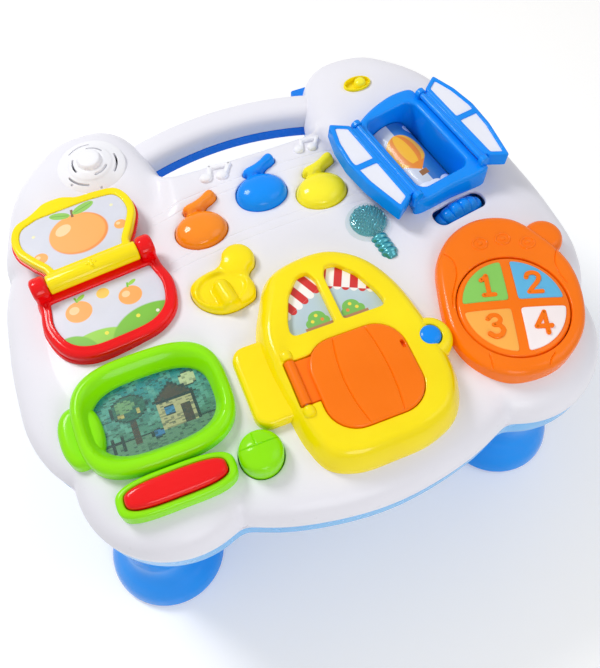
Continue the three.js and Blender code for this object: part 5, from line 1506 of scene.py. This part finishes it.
@dataclass
class Car(Unit):
    """The car: a cabin with two windows and a door, a trunk, a nose and its headlight."""

    x: float = 9.0
    y: float = -38.5
    top: float = 46.0
    half: tuple = (58.0, 76.6)
    fall: float = 17.0
    band: float = 11.0
    door: tuple = (0.5, -25.0, 32.5, 31.5, 20.0)
    strap_y: float = -15.0
    strap_half: float = 15.5
    axis_x: float = -41.5
    axis_z: float = 45.5
    nose: tuple = (49.5, -14.5, 15.5)
    trunk: tuple = (-53.5, -2.5, 20.0, 29.0)

    def cabin_loop(self, spacing: float = 1.3) -> np.ndarray:
        """The outline of the cabin."""
        return share_loop(CABIN, *self.half, spacing)

    def shell_hole(self) -> np.ndarray:
        """The hole that the shell needs under the cabin."""
        return self.hole(self.cabin_loop(2.5), 8)

    def window_loop(self, side: int, grow: float = 0.0) -> np.ndarray:
        """A window's outline, out from the pillar."""
        points = np.array([(side * (3 + x * 30), 16.5 + y * 42) for x, y in CAR_WINDOW])
        return inset(softened(even_loop(points, 0.8), 8), -grow)

    def door_loop(self, grow: float = 0.0) -> np.ndarray:
        """The door panel's outline."""
        x, y, half_x, half_y, corner = self.door
        return placed(rounded_box(half_x + grow, half_y + grow, corner + grow, 1.0), x, y)

    def seat_loop(self) -> np.ndarray:
        """The outline of the door's seat: at each angle the farther of the panel and the strap."""
        middle = np.array(self.door[:2])
        left = self.axis_x - 3.9
        strap = placed(
            rounded_box(
                (10 - left) / 2, self.strap_half + 0.35, 0.8, 0.5
            ), (left + 10) / 2, self.strap_y
        )
        angle = np.linspace(0, 2 * np.pi, 900, endpoint=False)
        ray = np.column_stack([np.cos(angle), np.sin(angle)])
        reach = [1 / gauge(loop, middle)(*(middle + ray).T) for loop in (self.door_loop(0.35), strap)]
        return even_loop(middle + ray * np.maximum(*reach)[:, None], 0.9)

    def build(self) -> None:
        """Makes the body, the window pictures, the door and the headlight."""
        loop = self.cabin_loop()
        openings = [Opening(self.window_loop(side), 40.6, 1.2) for side in (-1, 1)]
        openings.append(Opening(self.seat_loop(), 41.6, 0.9))
        openings.append(Opening(self.door_loop(-5.0), 33.2, 0.4, parent=3))
        rings = (0.6, 1.2, 1.9, 2.7, 3.6, 4.6, 5.8, 7.2, 9.0, 11.0)
        cabin = moulded(loop, FOOT, self.cabin_height(loop), 1.2, openings, 1.9, 4, extra_rings=rings)
        tx, ty, trunk_x, trunk_y = self.trunk
        trunk = moulded(placed(rounded_box(trunk_x, trunk_y, 10), tx, ty), FOOT, 38, 4.5, [], 2.2, 7)
        x, y, radius = self.nose
        hole = Opening(placed(oval(7.8, 7.8), x, y), 22, 1.2)
        nose_loop = placed(oval(radius, radius), x, y)
        nose = moulded(nose_loop, FOOT, dome(nose_loop, 42.5, 45.6, (x, y)), 4.6, [hole], 1.8, 8)
        ears = [self.ear(self.strap_y + side * (self.strap_half + 4.3)) for side in (-1, 1)]
        form = cabin.plus(trunk, nose, *ears)
        self.piece("car_shell", form, YELLOW, replaces=["car_body"], slot="yellow")
        for side, name in ((-1, "left"), (1, "right")):
            card = moulded(self.window_loop(side, -0.15), 40.4, 40.9, 0.1, [], 3.0, 2)
            self.piece(
                f"car_picture_{name}", card, self.window_art(side),
                replaces=[f"car_window_card_{name}"], slot="card",
            )
        self.build_door()
        lamp_loop = placed(oval(7.3, 7.3), x, y)
        lamp = moulded(lamp_loop, 20, dome(lamp_loop, 45.0, 48.0, (x, y)), 1.4, [], 1.0, 6)
        self.piece("headlight_form", lamp, BLUE, "headlight", ["headlight_button"], "blue")

    def cabin_height(self, loop: np.ndarray) -> Surface:
        """The cabin rises from its band by a power of the distance from the outline."""

        def height(x: np.ndarray, y: np.ndarray) -> np.ndarray:
            """The height at each point."""
            gap = distance(np.column_stack([x, y]), loop)
            return self.top - self.fall * np.clip(1 - gap / self.band, 0, 1) ** 2.2

        return height

    def ear(self, y_at: float) -> Form:
        """A rounded ear that carries the door's pin: the radius of a capsule along its axis."""
        along = np.linspace(-1, 1, 21)
        radius = 4.1 * (1 - np.abs(along) ** 3) ** 0.5
        rows = np.column_stack([radius, along * 4.2])
        rows[[0, -1], 0] = 0
        return lathed(rows, 40).turned(0, 90).shifted(self.axis_x, y_at, self.axis_z - 0.4)

    def groove(self, shift: float, bow: float) -> np.ndarray:
        """A groove line across the door, bowed by the square of its height."""
        t = np.linspace(-1, 1, 60)
        return np.column_stack([self.door[0] + shift + bow * t * t, self.door[1] + 30.5 * t])

    def build_door(self) -> None:
        """The door: a panel with two grooves, its strap and its barrel."""
        low = 42.2
        lines = [self.groove(-14.6, 4.4), self.groove(14.9, -3.0)]
        latch = Opening(
            placed(oval(1.3, 3.0, 2.6, 0.5), self.door[0] + 29.6, self.door[1] + 10.6), low + 2.4, 0.3
        )
        panel = moulded(
            self.door_loop(), low, low + 5.5, 1.9, [latch], 1.9, 7, creases=lines, crease_depth=0.7
        )
        strap_loop = placed(rounded_box(9.6, self.strap_half - 0.4, 1.0), -34.6, self.strap_y)
        strap = moulded(strap_loop, low, low + 2.7, 0.8, [], 2.5, 4)
        reach = self.strap_half - 0.2
        barrel = lathed(
            [
                (0, -reach), (3.0, -reach), (3.5, 0.6 - reach), (3.5, reach - 0.6), (3.0, reach),
                (0, reach)
            ], 48
        )
        barrel = barrel.turned(0, 90).shifted(self.axis_x, self.strap_y, self.axis_z)
        self.piece("door_form", panel.plus(strap, barrel), ORANGE, "door", ["car_door"], "orange")

    def window_art(self, side: int) -> Card:
        """A striped awning with scallops over a plain shrub on a pale blue pane."""
        red, white, leaf = linear(206, 34, 34), linear(246, 244, 244), linear(120, 190, 84)
        petal = linear(250, 226, 70)
        tilt = -side * 26
        scallops = [
            (DISC, side * (4.6 + 5.0 * k), 45.4 - 2.45 * k, 2.6, 2.6, white if k % 2 else red)
            for k in range(6)
        ]
        return self.card(
            f"card_awning_{'right' if side > 0 else 'left'}",
            linear(188, 210, 222),
            *scallops,
            (BOX, side * 21.0, 47.6, 19, 9.6, white, tilt),
            (STRIPES, side * 21.0, 47.6, 19, 9.6, red, tilt),
            (DISC, side * 12, 25.5, 6.0, 5.4, leaf),
            (DISC, side * 8.4, 22.5, 4.2, 3.8, leaf),
            (DISC, side * 16.2, 22.5, 4.4, 3.8, leaf),
            (BOX, side * 12, 19.4, 10, 1.1, linear(176, 128, 90)),
            (DISC, side * 12, 27.6, 1.2, 1.2, petal),
            (DISC, side * 9, 23.6, 1.2, 1.2, linear(240, 140, 60)),
            (DISC, side * 15.6, 24, 1.2, 1.2, petal),
        )


@dataclass
class Screen(Unit):
    """The toy computer: a dished bezel, its picture, a keyboard bar and a mouse."""

    x: float = -120.5
    y: float = -29.7
    half: tuple = (50.0, 39.5)
    hole: tuple = (38.6, 25.5)
    top: float = 39.5
    face: float = 28.0
    keys: tuple = (-121.6, -83.2, 37.4, 12.8)
    bar: tuple = (32.2, 8.5)
    mouse: tuple = (-67.8, -82.5, 14.4)

    def shell_holes(self) -> list[np.ndarray]:
        """The holes that the shell needs under the bezel, the keyboard and the mouse."""
        x, y, half_x, half_y = self.keys
        mx, my, radius = self.mouse
        return [
            placed(oval(self.half[0] - 5, self.half[1] - 5, 3, 2.5), self.x, self.y),
            placed(oval(half_x - 2.2, half_y - 2.2, 3.2, 2.0), x, y),
            placed(oval(radius + 0.3, radius + 0.3), mx, my),
        ]

    def build(self) -> None:
        """Makes the bezel, the picture, the window over it, the keyboard and the mouse."""
        outer = oval(*self.half, 3, 1.2)
        dish = oval(self.hole[0], self.hole[1], 3.0, 1.0)

        def height(x: np.ndarray, y: np.ndarray) -> np.ndarray:
            """A round ridge near the outside, and a smooth fall from it into the dish."""
            at = np.column_stack([x, y])
            out, into = distance(at, outer), distance(at, dish)
            share = np.clip((out / (out + into + 1e-6) - 0.44) / 0.56, 0, 1)
            return self.top - share**1.5 * (self.top - self.face - 1.0)

        bezel = moulded(outer, FOOT, height, 6.0, [Opening(dish, None, 0.4)], 1.5, 9)
        ear = moulded(placed(oval(14, 21, 2.4), -47, 0), FOOT, 32, 6.0, [], 1.8, 7)
        self.piece("bezel_form", bezel.plus(ear), GREEN, replaces=["screen_bezel"], slot="green")
        seat = oval(self.hole[0] + 1.5, self.hole[1] + 1.5, 3.0, 1.2)
        window = moulded(seat, self.face - 2.3, self.face - 0.3, 0.2, [], 4.0, 2)
        self.piece("screen_pane", window, LENS, replaces=["screen_lens"], slot="lens")
        picture = moulded(seat, self.face - 3.4, self.face - 2.6, 0.1, [], 4.0, 2)
        mosaic = Mosaic("card_mosaic", self.x, self.y)
        self.piece("screen_picture", picture, mosaic, replaces=["screen_card"], slot="card")
        self.build_keys()

    def build_keys(self) -> None:
        """The keyboard with its long bar, and the mouse with its seams."""
        x, y, half_x, half_y = self.keys
        bar_loop = oval(*self.bar, 3.2, 0.9)
        base = moulded(oval(half_x, half_y, 3.2), FOOT, 36, 3.0, [Opening(bar_loop, None, 1.2)], 1.4, 8)
        make_piece("keyboard_form", base.shifted(x, y), GREEN, replaces=["keyboard_base"], slot="green")
        bar = moulded(
            inset(bar_loop, 0.4), 20, dome(bar_loop, 38.6, 40.5, (0, 0), 4.0), 3.0, [], 1.6, 8
        )
        make_piece("bar_form", bar.shifted(x, y), RED, "keyboard", ["keyboard_button"], "red")
        mx, my, radius = self.mouse
        loop = oval(radius - 0.3, radius - 0.3)
        t = np.linspace(-1, 1, 50)
        seam = np.column_stack([(radius - 1.6) * t, 2.6 + 1.2 * t * t])
        stop = np.column_stack([-2.2 + 0 * t, 8.2 + 4.4 * t])
        body = moulded(
            loop, 20, dome(
                loop, 34.5, 42.0, (0, 0)
            ), 2.0, [], 1.0, 7, creases=[seam, stop], crease_depth=0.75
        )
        make_piece("mouse_form", body.shifted(mx, my), GREEN, "mouse", ["mouse_button"], "green")


@dataclass
class Phone(Unit):
    """The fruit-shaped phone with its number disc."""

    x: float = 124.0
    y: float = -39.3
    half: tuple = (50.0, 60.0)
    top: float = 40.0
    disc: tuple = (-3.0, -12.2, 37.5)
    turn: float = -17.0
    quadrant: tuple = (33.8, 3.2)
    step: float = 0.04

    def loop(self, spacing: float = 1.3) -> np.ndarray:
        """The outline of the housing."""
        return share_loop(PHONE, *self.half, spacing)

    def shell_hole(self) -> np.ndarray:
        """The hole that the shell needs under the housing."""
        return self.hole(self.loop(2.5), 6)

    def build(self) -> None:
        """Makes the housing, its ear and rings, and the number disc."""
        dx, dy, radius = self.disc
        well = Opening(placed(oval(radius + 0.5, radius + 0.5), dx, dy), 31.5, 1.0)
        stem = Opening(placed(oval(30.4, 30.4), dx, dy), None, 0.2, parent=1)
        waves = [
            [(-27.5, 41), (-24.4, 34), (-26.6, 24), (-32, 16), (-36.6, 10), (-40.4, 2)],
            [(46, 17), (40, 9), (37.8, 0), (38.4, -9)],
            [(-34.6, -38.6), (-35.4, -43), (-36.4, -48)],
            [(4.6, -52.6), (0.6, -55.2), (-1.4, -58)],
        ]
        creases = [spline(wave, closed=False, steps=12) for wave in waves]
        housing = moulded(
            self.loop(), FOOT, self.top, 6.0, [well, stem], 1.9, 9, creases=creases, crease_depth=0.8
        )
        ear_loop = placed(oval(14, 14), 46, 32)
        ear = moulded(ear_loop, FOOT, dome(ear_loop, 34.0, 37.4, (46, 32)), 5.0, [], 1.8, 8)
        turn = np.linspace(0, 2 * np.pi, 48, endpoint=False)
        rings = []
        for x, y in ((-1.3, 39.2), (15.0, 37.1), (29.4, 28.1)):
            path = np.column_stack(
                [x + 5.0 * np.cos(turn), y + 4.3 * np.sin(turn), np.full(48, self.top)]
            )
            rings.append(swept(path, oval(0.75, 0.6, 2, 0.3), closed=True))
            heart = placed(oval(2.0, 1.5, 2, 0.5), x, y)
            crown = dome(heart, self.top + 0.2, self.top + 0.8, (x, y))
            rings.append(moulded(heart, self.top - 0.5, crown, 0.3, [], 0.8, 4))
        form = housing.plus(ear, *rings)
        self.piece("phone_form", form, ORANGE, replaces=["phone_housing"], slot="orange")
        self.build_disc()

    def build_disc(self) -> None:
        """The disc: a low crown with four coloured fields and their numbers."""
        dx, dy, radius = self.disc
        loop = oval(radius, radius)
        crown = dome(loop, 38.6, 42.2, (0, 0), 2.4)
        base = moulded(loop, 35, crown, 2.0, [], 2.0, 6)
        stem = moulded(oval(29.8, 29.8), 20, 35.2, 0.2, [], 6.0, 2)
        place = (self.x + dx, self.y + dy)
        make_piece(
            "disc_form", base.plus(stem).turned(2, self.turn).shifted(*place), ORANGE, "disc",
            ["number_disc"], "orange",
        )
        fields = {
            1: ((-1, 1), linear(138, 206, 96)),
            2: ((1, 1), linear(98, 184, 228)),
            3: ((-1, -1), linear(255, 176, 78)),
            4: ((1, -1), linear(252, 240, 240)),
        }
        reach, gap = self.quadrant
        angle = np.linspace(0, np.pi / 2, 40)
        for number, ((sx, sy), color) in fields.items():
            arc = np.maximum(reach * np.column_stack([np.cos(angle), np.sin(angle)]), gap)
            quarter = softened(even_loop(np.vstack([[gap, gap], arc]), 0.9), 6) * [sx, sy]
            quarter = counterclockwise(quarter)
            form = moulded(quarter, 36, lambda x, y: crown(x, y) + 0.7, 0.6, [], 1.8, 4)
            finish = Plastic(f"field_{number}", color, roughness=0.3, coat=0.15)
            make_piece(
                f"disc_field_{number}", form.turned(
                    2, self.turn
                ).shifted(*place), finish, "disc", slot="orange"
            )
            self.numeral(number, (sx * 15.6, sy * 15.0), place)

    def numeral(self, number: int, spot: Sequence, place: Sequence) -> None:
        """A raised number: strokes swept along splines, with a round pad at each end.

        Each form stands a little over the one before, so that no two faces lie in one plane.
        """
        forms = []
        for stroke in NUMERALS[number]:
            line = np.array(stroke, float)
            if len(stroke) > 2:
                line = spline(stroke, closed=False, steps=10)
            path = np.column_stack([line, np.full(len(line), 42.0)])
            bar = swept(path, rounded_box(1.6, 1.0, 0.5, 0.4))
            forms.append(bar.shifted(z=self.step * len(forms)))
            for end in (line[0], line[-1]):
                pad = moulded(placed(oval(1.57, 1.57, 2, 0.5), *end), 41.0, 42.96, 0.5, [], 0.8, 4)
                forms.append(pad.shifted(z=self.step * len(forms)))
        form = forms[0].plus(*forms[1:]).shifted(*spot).turned(2, self.turn).shifted(*place)
        make_piece(f"number_{number}", form, ORANGE, "disc", slot="orange")


@dataclass
class Buttons:
    """The three note buttons, the dummy button, the bulb, the speaker and the switch."""

    notes: tuple = (
        ("left", -49.5, 88.0, NOTE_ORANGE, "orange"),
        ("middle", 1.5, 103.5, BLUE, "blue"),
        ("right", 42.5, 88.5, LEMON, "yellow"),
    )
    dummy: tuple = (-52.0, 34.0)
    teat: tuple = (16.8, 18.5, 12.3)
    bulb: tuple = (62.0, 50.0, 16.5, 8.0)
    speaker: tuple = (-107.0, 171.0, 25.5)
    slot_rows: tuple = ((12.7, 29), (19.0, 27))
    slot_half: float = 0.7
    pinholes: tuple = ((-17.5, -12.5), (2.0, -22.2))
    switch: tuple = (107.0, 173.0)
    bottom: float = 20.0

    def note_loop(self, grow: float = 0.0) -> np.ndarray:
        """The outline of a note button with its stem."""
        return inset(share_loop(NOTE_LOOP, 1, 1, 0.9), -grow)

    def dummy_loop(self, grow: float = 0.0) -> np.ndarray:
        """The outline of the dummy with its teat."""
        return inset(share_loop(DUMMY_LOOP, 1, 1, 0.9), -grow)

    def shell_holes(self) -> list[np.ndarray]:
        """The holes that the shell needs for the buttons, the speaker and the switch."""
        loops = [placed(self.note_loop(0.3), x, y) for _, x, y, _, _ in self.notes]
        loops.append(placed(self.dummy_loop(0.3), *self.dummy))
        loops.append(placed(oval(23, 23, 2, 2), self.speaker[0], self.speaker[1]))
        loops.append(placed(oval(10.2, 6.2, 2, 1), *self.switch))
        return loops

    def build(self) -> None:
        """Makes every button and the rest."""
        for name, x, y, finish, slot in self.notes:
            make_piece(
                f"note_{name}_form", self.note().shifted(x, y), finish, f"note_{name}",
                [f"note_button_{name}"], slot, crease=60,
            )
        self.build_dummy()
        self.build_bulb()
        self.build_speaker()
        self.build_switch()

    def note(self) -> Form:
        """A round crown with a soft stem: the soft maximum of a dome and a bent roll."""
        body = oval(19, 15.5)
        share = gauge(body, (0, 0))
        roll = spline([(-4.0, 17.6), (1.5, 18.8), (7.5, 21.2), (14.4, 24.8)], closed=False, steps=16)

        def height(x: np.ndarray, y: np.ndarray) -> np.ndarray:
            """The height at each point."""
            reach = share(x, y)
            crown = 28.5 + 9.8 * np.sqrt(np.maximum(1 - np.minimum(reach, 1) ** 2.3, 0))
            crown = crown - np.maximum(reach - 1, 0) * 60
            away = distance(np.column_stack([x, y]), roll, closed=False) / 5.0
            stem = 30.5 + 6.3 * np.sqrt(np.maximum(1 - np.minimum(away, 1) ** 2, 0))
            return 0.6 * np.logaddexp(crown / 0.6, stem / 0.6)

        return moulded(self.note_loop(), self.bottom, height, 3.2, [], 0.95, 9)

    def build_dummy(self) -> None:
        """The dummy: a shield with a ring round a smooth hollow, a knob and a round teat."""
        centre = (-0.6, -0.6)
        wide = np.array([17.4, 13.0])
        tx, ty, radius = self.teat

        def height(x: np.ndarray, y: np.ndarray) -> np.ndarray:
            """A shield whose ring swells and whose hollow falls by the distance from the ring."""
            teat = np.minimum(np.hypot(x - tx, y - ty) / (radius + 0.6), 1)
            reach = np.hypot((x - centre[0]) / wide[0], (y - centre[1]) / wide[1])
            ring = 1.8 * np.exp(-(((reach - 1) / 0.16) ** 2))
            hollow = 5.6 * np.clip(1 - reach, 0, 1) ** 0.6
            fade = np.clip((np.hypot(x - tx, y - ty) - radius) / 4, 0, 1)
            along = np.clip(y, -13.4, -0.4)
            knob = np.minimum(np.hypot(x - 0.6 + 0.16 * (along + 8), y - along) / 7.0, 1)
            flat = 36.4 + (ring - hollow) * fade
            handle = 33.0 + 11.0 * np.sqrt(1 - knob**2)
            bulge = 35.4 + 5.4 * np.sqrt(1 - teat**2)
            return 0.4 * np.log(np.exp(flat / 0.4) + np.exp(handle / 0.4) + np.exp(bulge / 0.4))

        shield = moulded(self.dummy_loop(), self.bottom, height, 3.2, [], 0.85, 8)
        make_piece(
            "dummy_form", shield.shifted(*self.dummy), YELLOW, "dummy", [
                "dummy_button"
            ], "yellow", crease=60
        )

    def build_bulb(self) -> None:
        """The bulb: a clear dome over a core with crossed ridges, and a ribbed neck."""
        x, y, radius, degrees = self.bulb
        loop = oval(radius, radius)
        inner = placed(oval(radius - 3.2, radius - 3.0), 0.8, 1.0)

        def facets(px: np.ndarray, py: np.ndarray) -> np.ndarray:
            """A crown with a field of small pyramids, the product of two triangle waves."""
            share = np.hypot(px - 0.8, py - 1.0) / (radius - 3.0)
            crown = 29.3 + 5.6 * np.sqrt(np.maximum(1 - 0.97 * np.minimum(share, 1) ** 2, 0))
            u, v = (px + py) / 3.6, (px - py) / 3.6
            wave = np.abs(2 * (u - np.floor(u + 0.5))) * np.abs(2 * (v - np.floor(v + 0.5)))
            return crown + 3.0 * wave

        core = moulded(inner, 24, facets, 1.0, [], 0.5, 4).turned(2, degrees).shifted(x, y)
        make_piece("bulb_core", core, BULB_CORE, slot="lens", crease=18)
        head = moulded(loop, self.bottom, dome(loop, 30.5, 38.4, (0, 0)), 2.8, [], 1.2, 8)
        along = np.linspace(0, 17.5, 85)
        ridge = 5.6 + 1.1 * np.abs(np.sin(along * math.pi / 4.4)) ** 0.8
        rows = np.vstack(
            [[0, 0], np.column_stack([ridge, along]), [4.8, 18.6], [4.4, 20.2], [3.6, 20.8], [0, 21]]
        )
        neck = lathed(rows, 56).turned(0, 90).shifted(0, -13.0, 28.6)
        form = head.turned(2, degrees).shifted(x, y)
        make_piece("bulb_form", form, BULB, replaces=["bulb_lens"], slot="lens")
        seated = neck.turned(2, degrees).shifted(x, y)
        make_piece("bulb_neck", seated, BULB_CORE, slot="lens", crease=50)

    def build_speaker(self) -> None:
        """The grille: a low cone with a stepped cap and two rows of curved slots."""
        x, y, radius = self.speaker
        table = np.array([
            (0, 41.6), (5.0, 41.5), (7.4, 41.1), (8.4, 40.2), (8.8, 38.6), (9.2, 37.5), (
                10.6, 37.4
            ), (15.6, 35.2),
            (16.2, 34.5), (21.4, 32.3), (23.4, 31.4), (25.5, 30.4),
        ])

        def height(px: np.ndarray, py: np.ndarray) -> np.ndarray:
            """The height by the distance from the middle."""
            return np.interp(np.hypot(px, py), table[:, 0], table[:, 1])

        slots = []
        for row, (reach, sweep) in enumerate(self.slot_rows):
            for part in range(3):
                middle = 120 * part + 300 + 46 * row
                angle = np.radians(middle + np.linspace(-sweep, sweep, 30))
                arc = np.column_stack([np.cos(angle), np.sin(angle)])
                half = self.slot_half
                loop = np.vstack([arc * (reach - half), arc[::-1] * (reach + half)])
                slots.append(Opening(softened(even_loop(loop, 0.5), 2), None, 0.25))
        for spot in self.pinholes:
            slots.append(Opening(placed(oval(0.9, 0.9, 2, 0.3), *spot), 30.0, 0.2))
        form = moulded(oval(radius, radius), 26, height, 1.2, slots, 0.8, 5).shifted(x, y)
        make_piece("grille_form", form, GRILLE_WHITE, replaces=["speaker_grille"], slot="white")

    def build_switch(self) -> None:
        """The power switch: an oval dish with a rounded slider at its right."""
        x, y = self.switch
        rim = oval(11, 7, 2, 0.6)
        dish = moulded(rim, 21, 33, 0.8, [Opening(inset(rim, 1.3), 29.2, 0.6)], 1.4, 5)
        make_piece("switch_form", dish.shifted(x, y), YELLOW, replaces=["switch_bezel"], slot="yellow")
        knob_loop = placed(oval(4.6, 4.4, 2.4, 0.5), 2.5, 0)
        knob = moulded(knob_loop, 29.4, dome(knob_loop, 32.2, 35.2), 1.2, [], 0.8, 6)
        make_piece("slider_form", knob.shifted(x, y), LEMON, "power", ["power_slider"], "yellow")


@dataclass
class Inner:
    """The solids that stay as they are, inside and under the panel."""

    finishes: dict = field(default_factory=lambda: {
        "board": BOARD, "key_mat": MAT, "battery_cell": CELL, "_pin": STEEL, "shaft": STEEL,
        "driver": RIM_DARK, "slide_switch": RIM_DARK, "battery_door": TRAY_LIT_BLUE, "cradle": NATURAL,
        "lamp": NATURAL, "recess_card": NATURAL,
    })

    def dress(self, nodes: dict) -> None:
        """Gives every shown node that has no new piece a finish by its name."""
        for name, node in nodes.items():
            if node.hide_render:
                continue
            finish = next((f for key, f in self.finishes.items() if key in name), WHITE)
            node.data.materials.clear()
            node.data.materials.append(material_of(finish))
            LOG.info("%s keeps its solid", name)


def background_ray(tree: bpy.types.NodeTree) -> bpy.types.NodeSocket:
    """One for the rays that show the background: camera, glossy and transmission rays."""
    ray = tree.nodes.new("ShaderNodeLightPath")
    share = ray.outputs["Is Camera Ray"]
    for name in ("Is Glossy Ray", "Is Transmission Ray"):
        most = tree.nodes.new("ShaderNodeMath")
        most.operation = "MAXIMUM"
        tree.links.new(share, most.inputs[0])
        tree.links.new(ray.outputs[name], most.inputs[1])
        share = most.outputs[0]
    return share


@dataclass
class Studio:
    """The camera, the lamps, the world and the floor."""

    eye: tuple = (-0.10597, -0.28475, 0.68248)
    target: tuple = (-0.00966, -0.0425, 0.180)
    lens: float = 43.58
    lamp_target: tuple = (0, 0, 0.15)
    soft: float = 0.465
    lift: float = 0.15
    floor_reach: float = 6.0
    lamps: tuple = (
        ("key", (-0.6, 0.75, 1.3), 0.45, 11.5),
        ("fill", (0.9, -0.5, 1.1), 0.9, 2.6),
        ("front", (-0.1, -1.2, 0.6), 0.6, 4.2),
    )

    def build(self) -> None:
        """Makes the whole studio."""
        data = bpy.data.cameras.new("camera")
        data.lens = self.lens
        data.sensor_width = 36.0
        bpy.context.scene.camera = self.aimed("camera", data, self.eye, self.target)
        bpy.context.scene.view_settings.view_transform = "Standard"
        for name, place, size, power in self.lamps:
            light = bpy.data.lights.new(name, "AREA")
            light.shape = "DISK"
            light.size = size
            light.energy = power
            self.aimed(name, light, place, self.lamp_target)
        self.build_world()
        self.build_floor()

    def aimed(self, name: str, data: bpy.types.ID, place: tuple, target: tuple) -> bpy.types.Object:
        """An object at a place, turned to look at a target."""
        item = bpy.data.objects.new(name, data)
        item.location = place
        look = Vector(target) - Vector(place)
        item.rotation_euler = look.to_track_quat("-Z", "Y").to_euler()
        bpy.context.scene.collection.objects.link(item)
        return item

    def build_world(self) -> None:
        """Soft light from all sides, and white where the camera looks past the floor."""
        world = bpy.data.worlds.new("world")
        world.use_nodes = True
        tree = world.node_tree
        soft = tree.nodes["Background"]
        soft.inputs["Color"].default_value = (1.0, 1.0, 1.0, 1.0)
        soft.inputs["Strength"].default_value = self.soft
        plain = tree.nodes.new("ShaderNodeBackground")
        plain.inputs["Color"].default_value = (1.0, 1.0, 1.0, 1.0)
        choice = tree.nodes.new("ShaderNodeMixShader")
        tree.links.new(background_ray(tree), choice.inputs["Fac"])
        tree.links.new(soft.outputs[0], choice.inputs[1])
        tree.links.new(plain.outputs[0], choice.inputs[2])
        tree.links.new(choice.outputs[0], tree.nodes["World Output"].inputs["Surface"])
        bpy.context.scene.world = world

    def build_floor(self) -> None:
        """A pale floor that goes out of sight."""
        mesh = bpy.data.meshes.new("floor")
        corners = np.array([[-1, -1, 0], [1, -1, 0], [1, 1, 0], [-1, 1, 0]]) * self.floor_reach
        mesh.from_pydata(corners.tolist(), [], [[0, 1, 2, 3]])
        nodes = Nodes("floor_pale")
        ray = background_ray(nodes.tree)
        pale = nodes.mix(ray, rgba((0.66, 0.66, 0.66)), rgba((0.97, 0.96, 0.945)))
        nodes.put(nodes.shader.inputs["Base Color"], pale)
        nodes.put(nodes.shader.inputs["Roughness"], 0.7)
        nodes.shader.inputs["Emission Color"].default_value = (1.0, 1.0, 1.0, 1.0)
        nodes.put(nodes.shader.inputs["Emission Strength"], nodes.math("MULTIPLY", ray, self.lift))
        mesh.materials.append(nodes.material)
        floor = bpy.data.objects.new("floor", mesh)
        bpy.context.scene.collection.objects.link(floor)


def main() -> None:
    """Builds the table piece by piece."""
    logging.basicConfig(level=logging.INFO, format="%(message)s")
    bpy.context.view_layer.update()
    Studio().build()
    shell, book, window, car = Shell(), Book(), Window(), Car()
    screen, phone, buttons = Screen(), Phone(), Buttons()
    holes = [book.shell_hole(), *window.shell_holes(), car.shell_hole(), *screen.shell_holes()]
    holes += [phone.shell_hole(), *buttons.shell_holes()]
    shell.build(holes)
    shell.build_legs()
    for part in (book, window, car, screen, phone, buttons):
        part.build()
    Inner().dress(frame["nodes"])


if __name__ == "__main__":
    main()
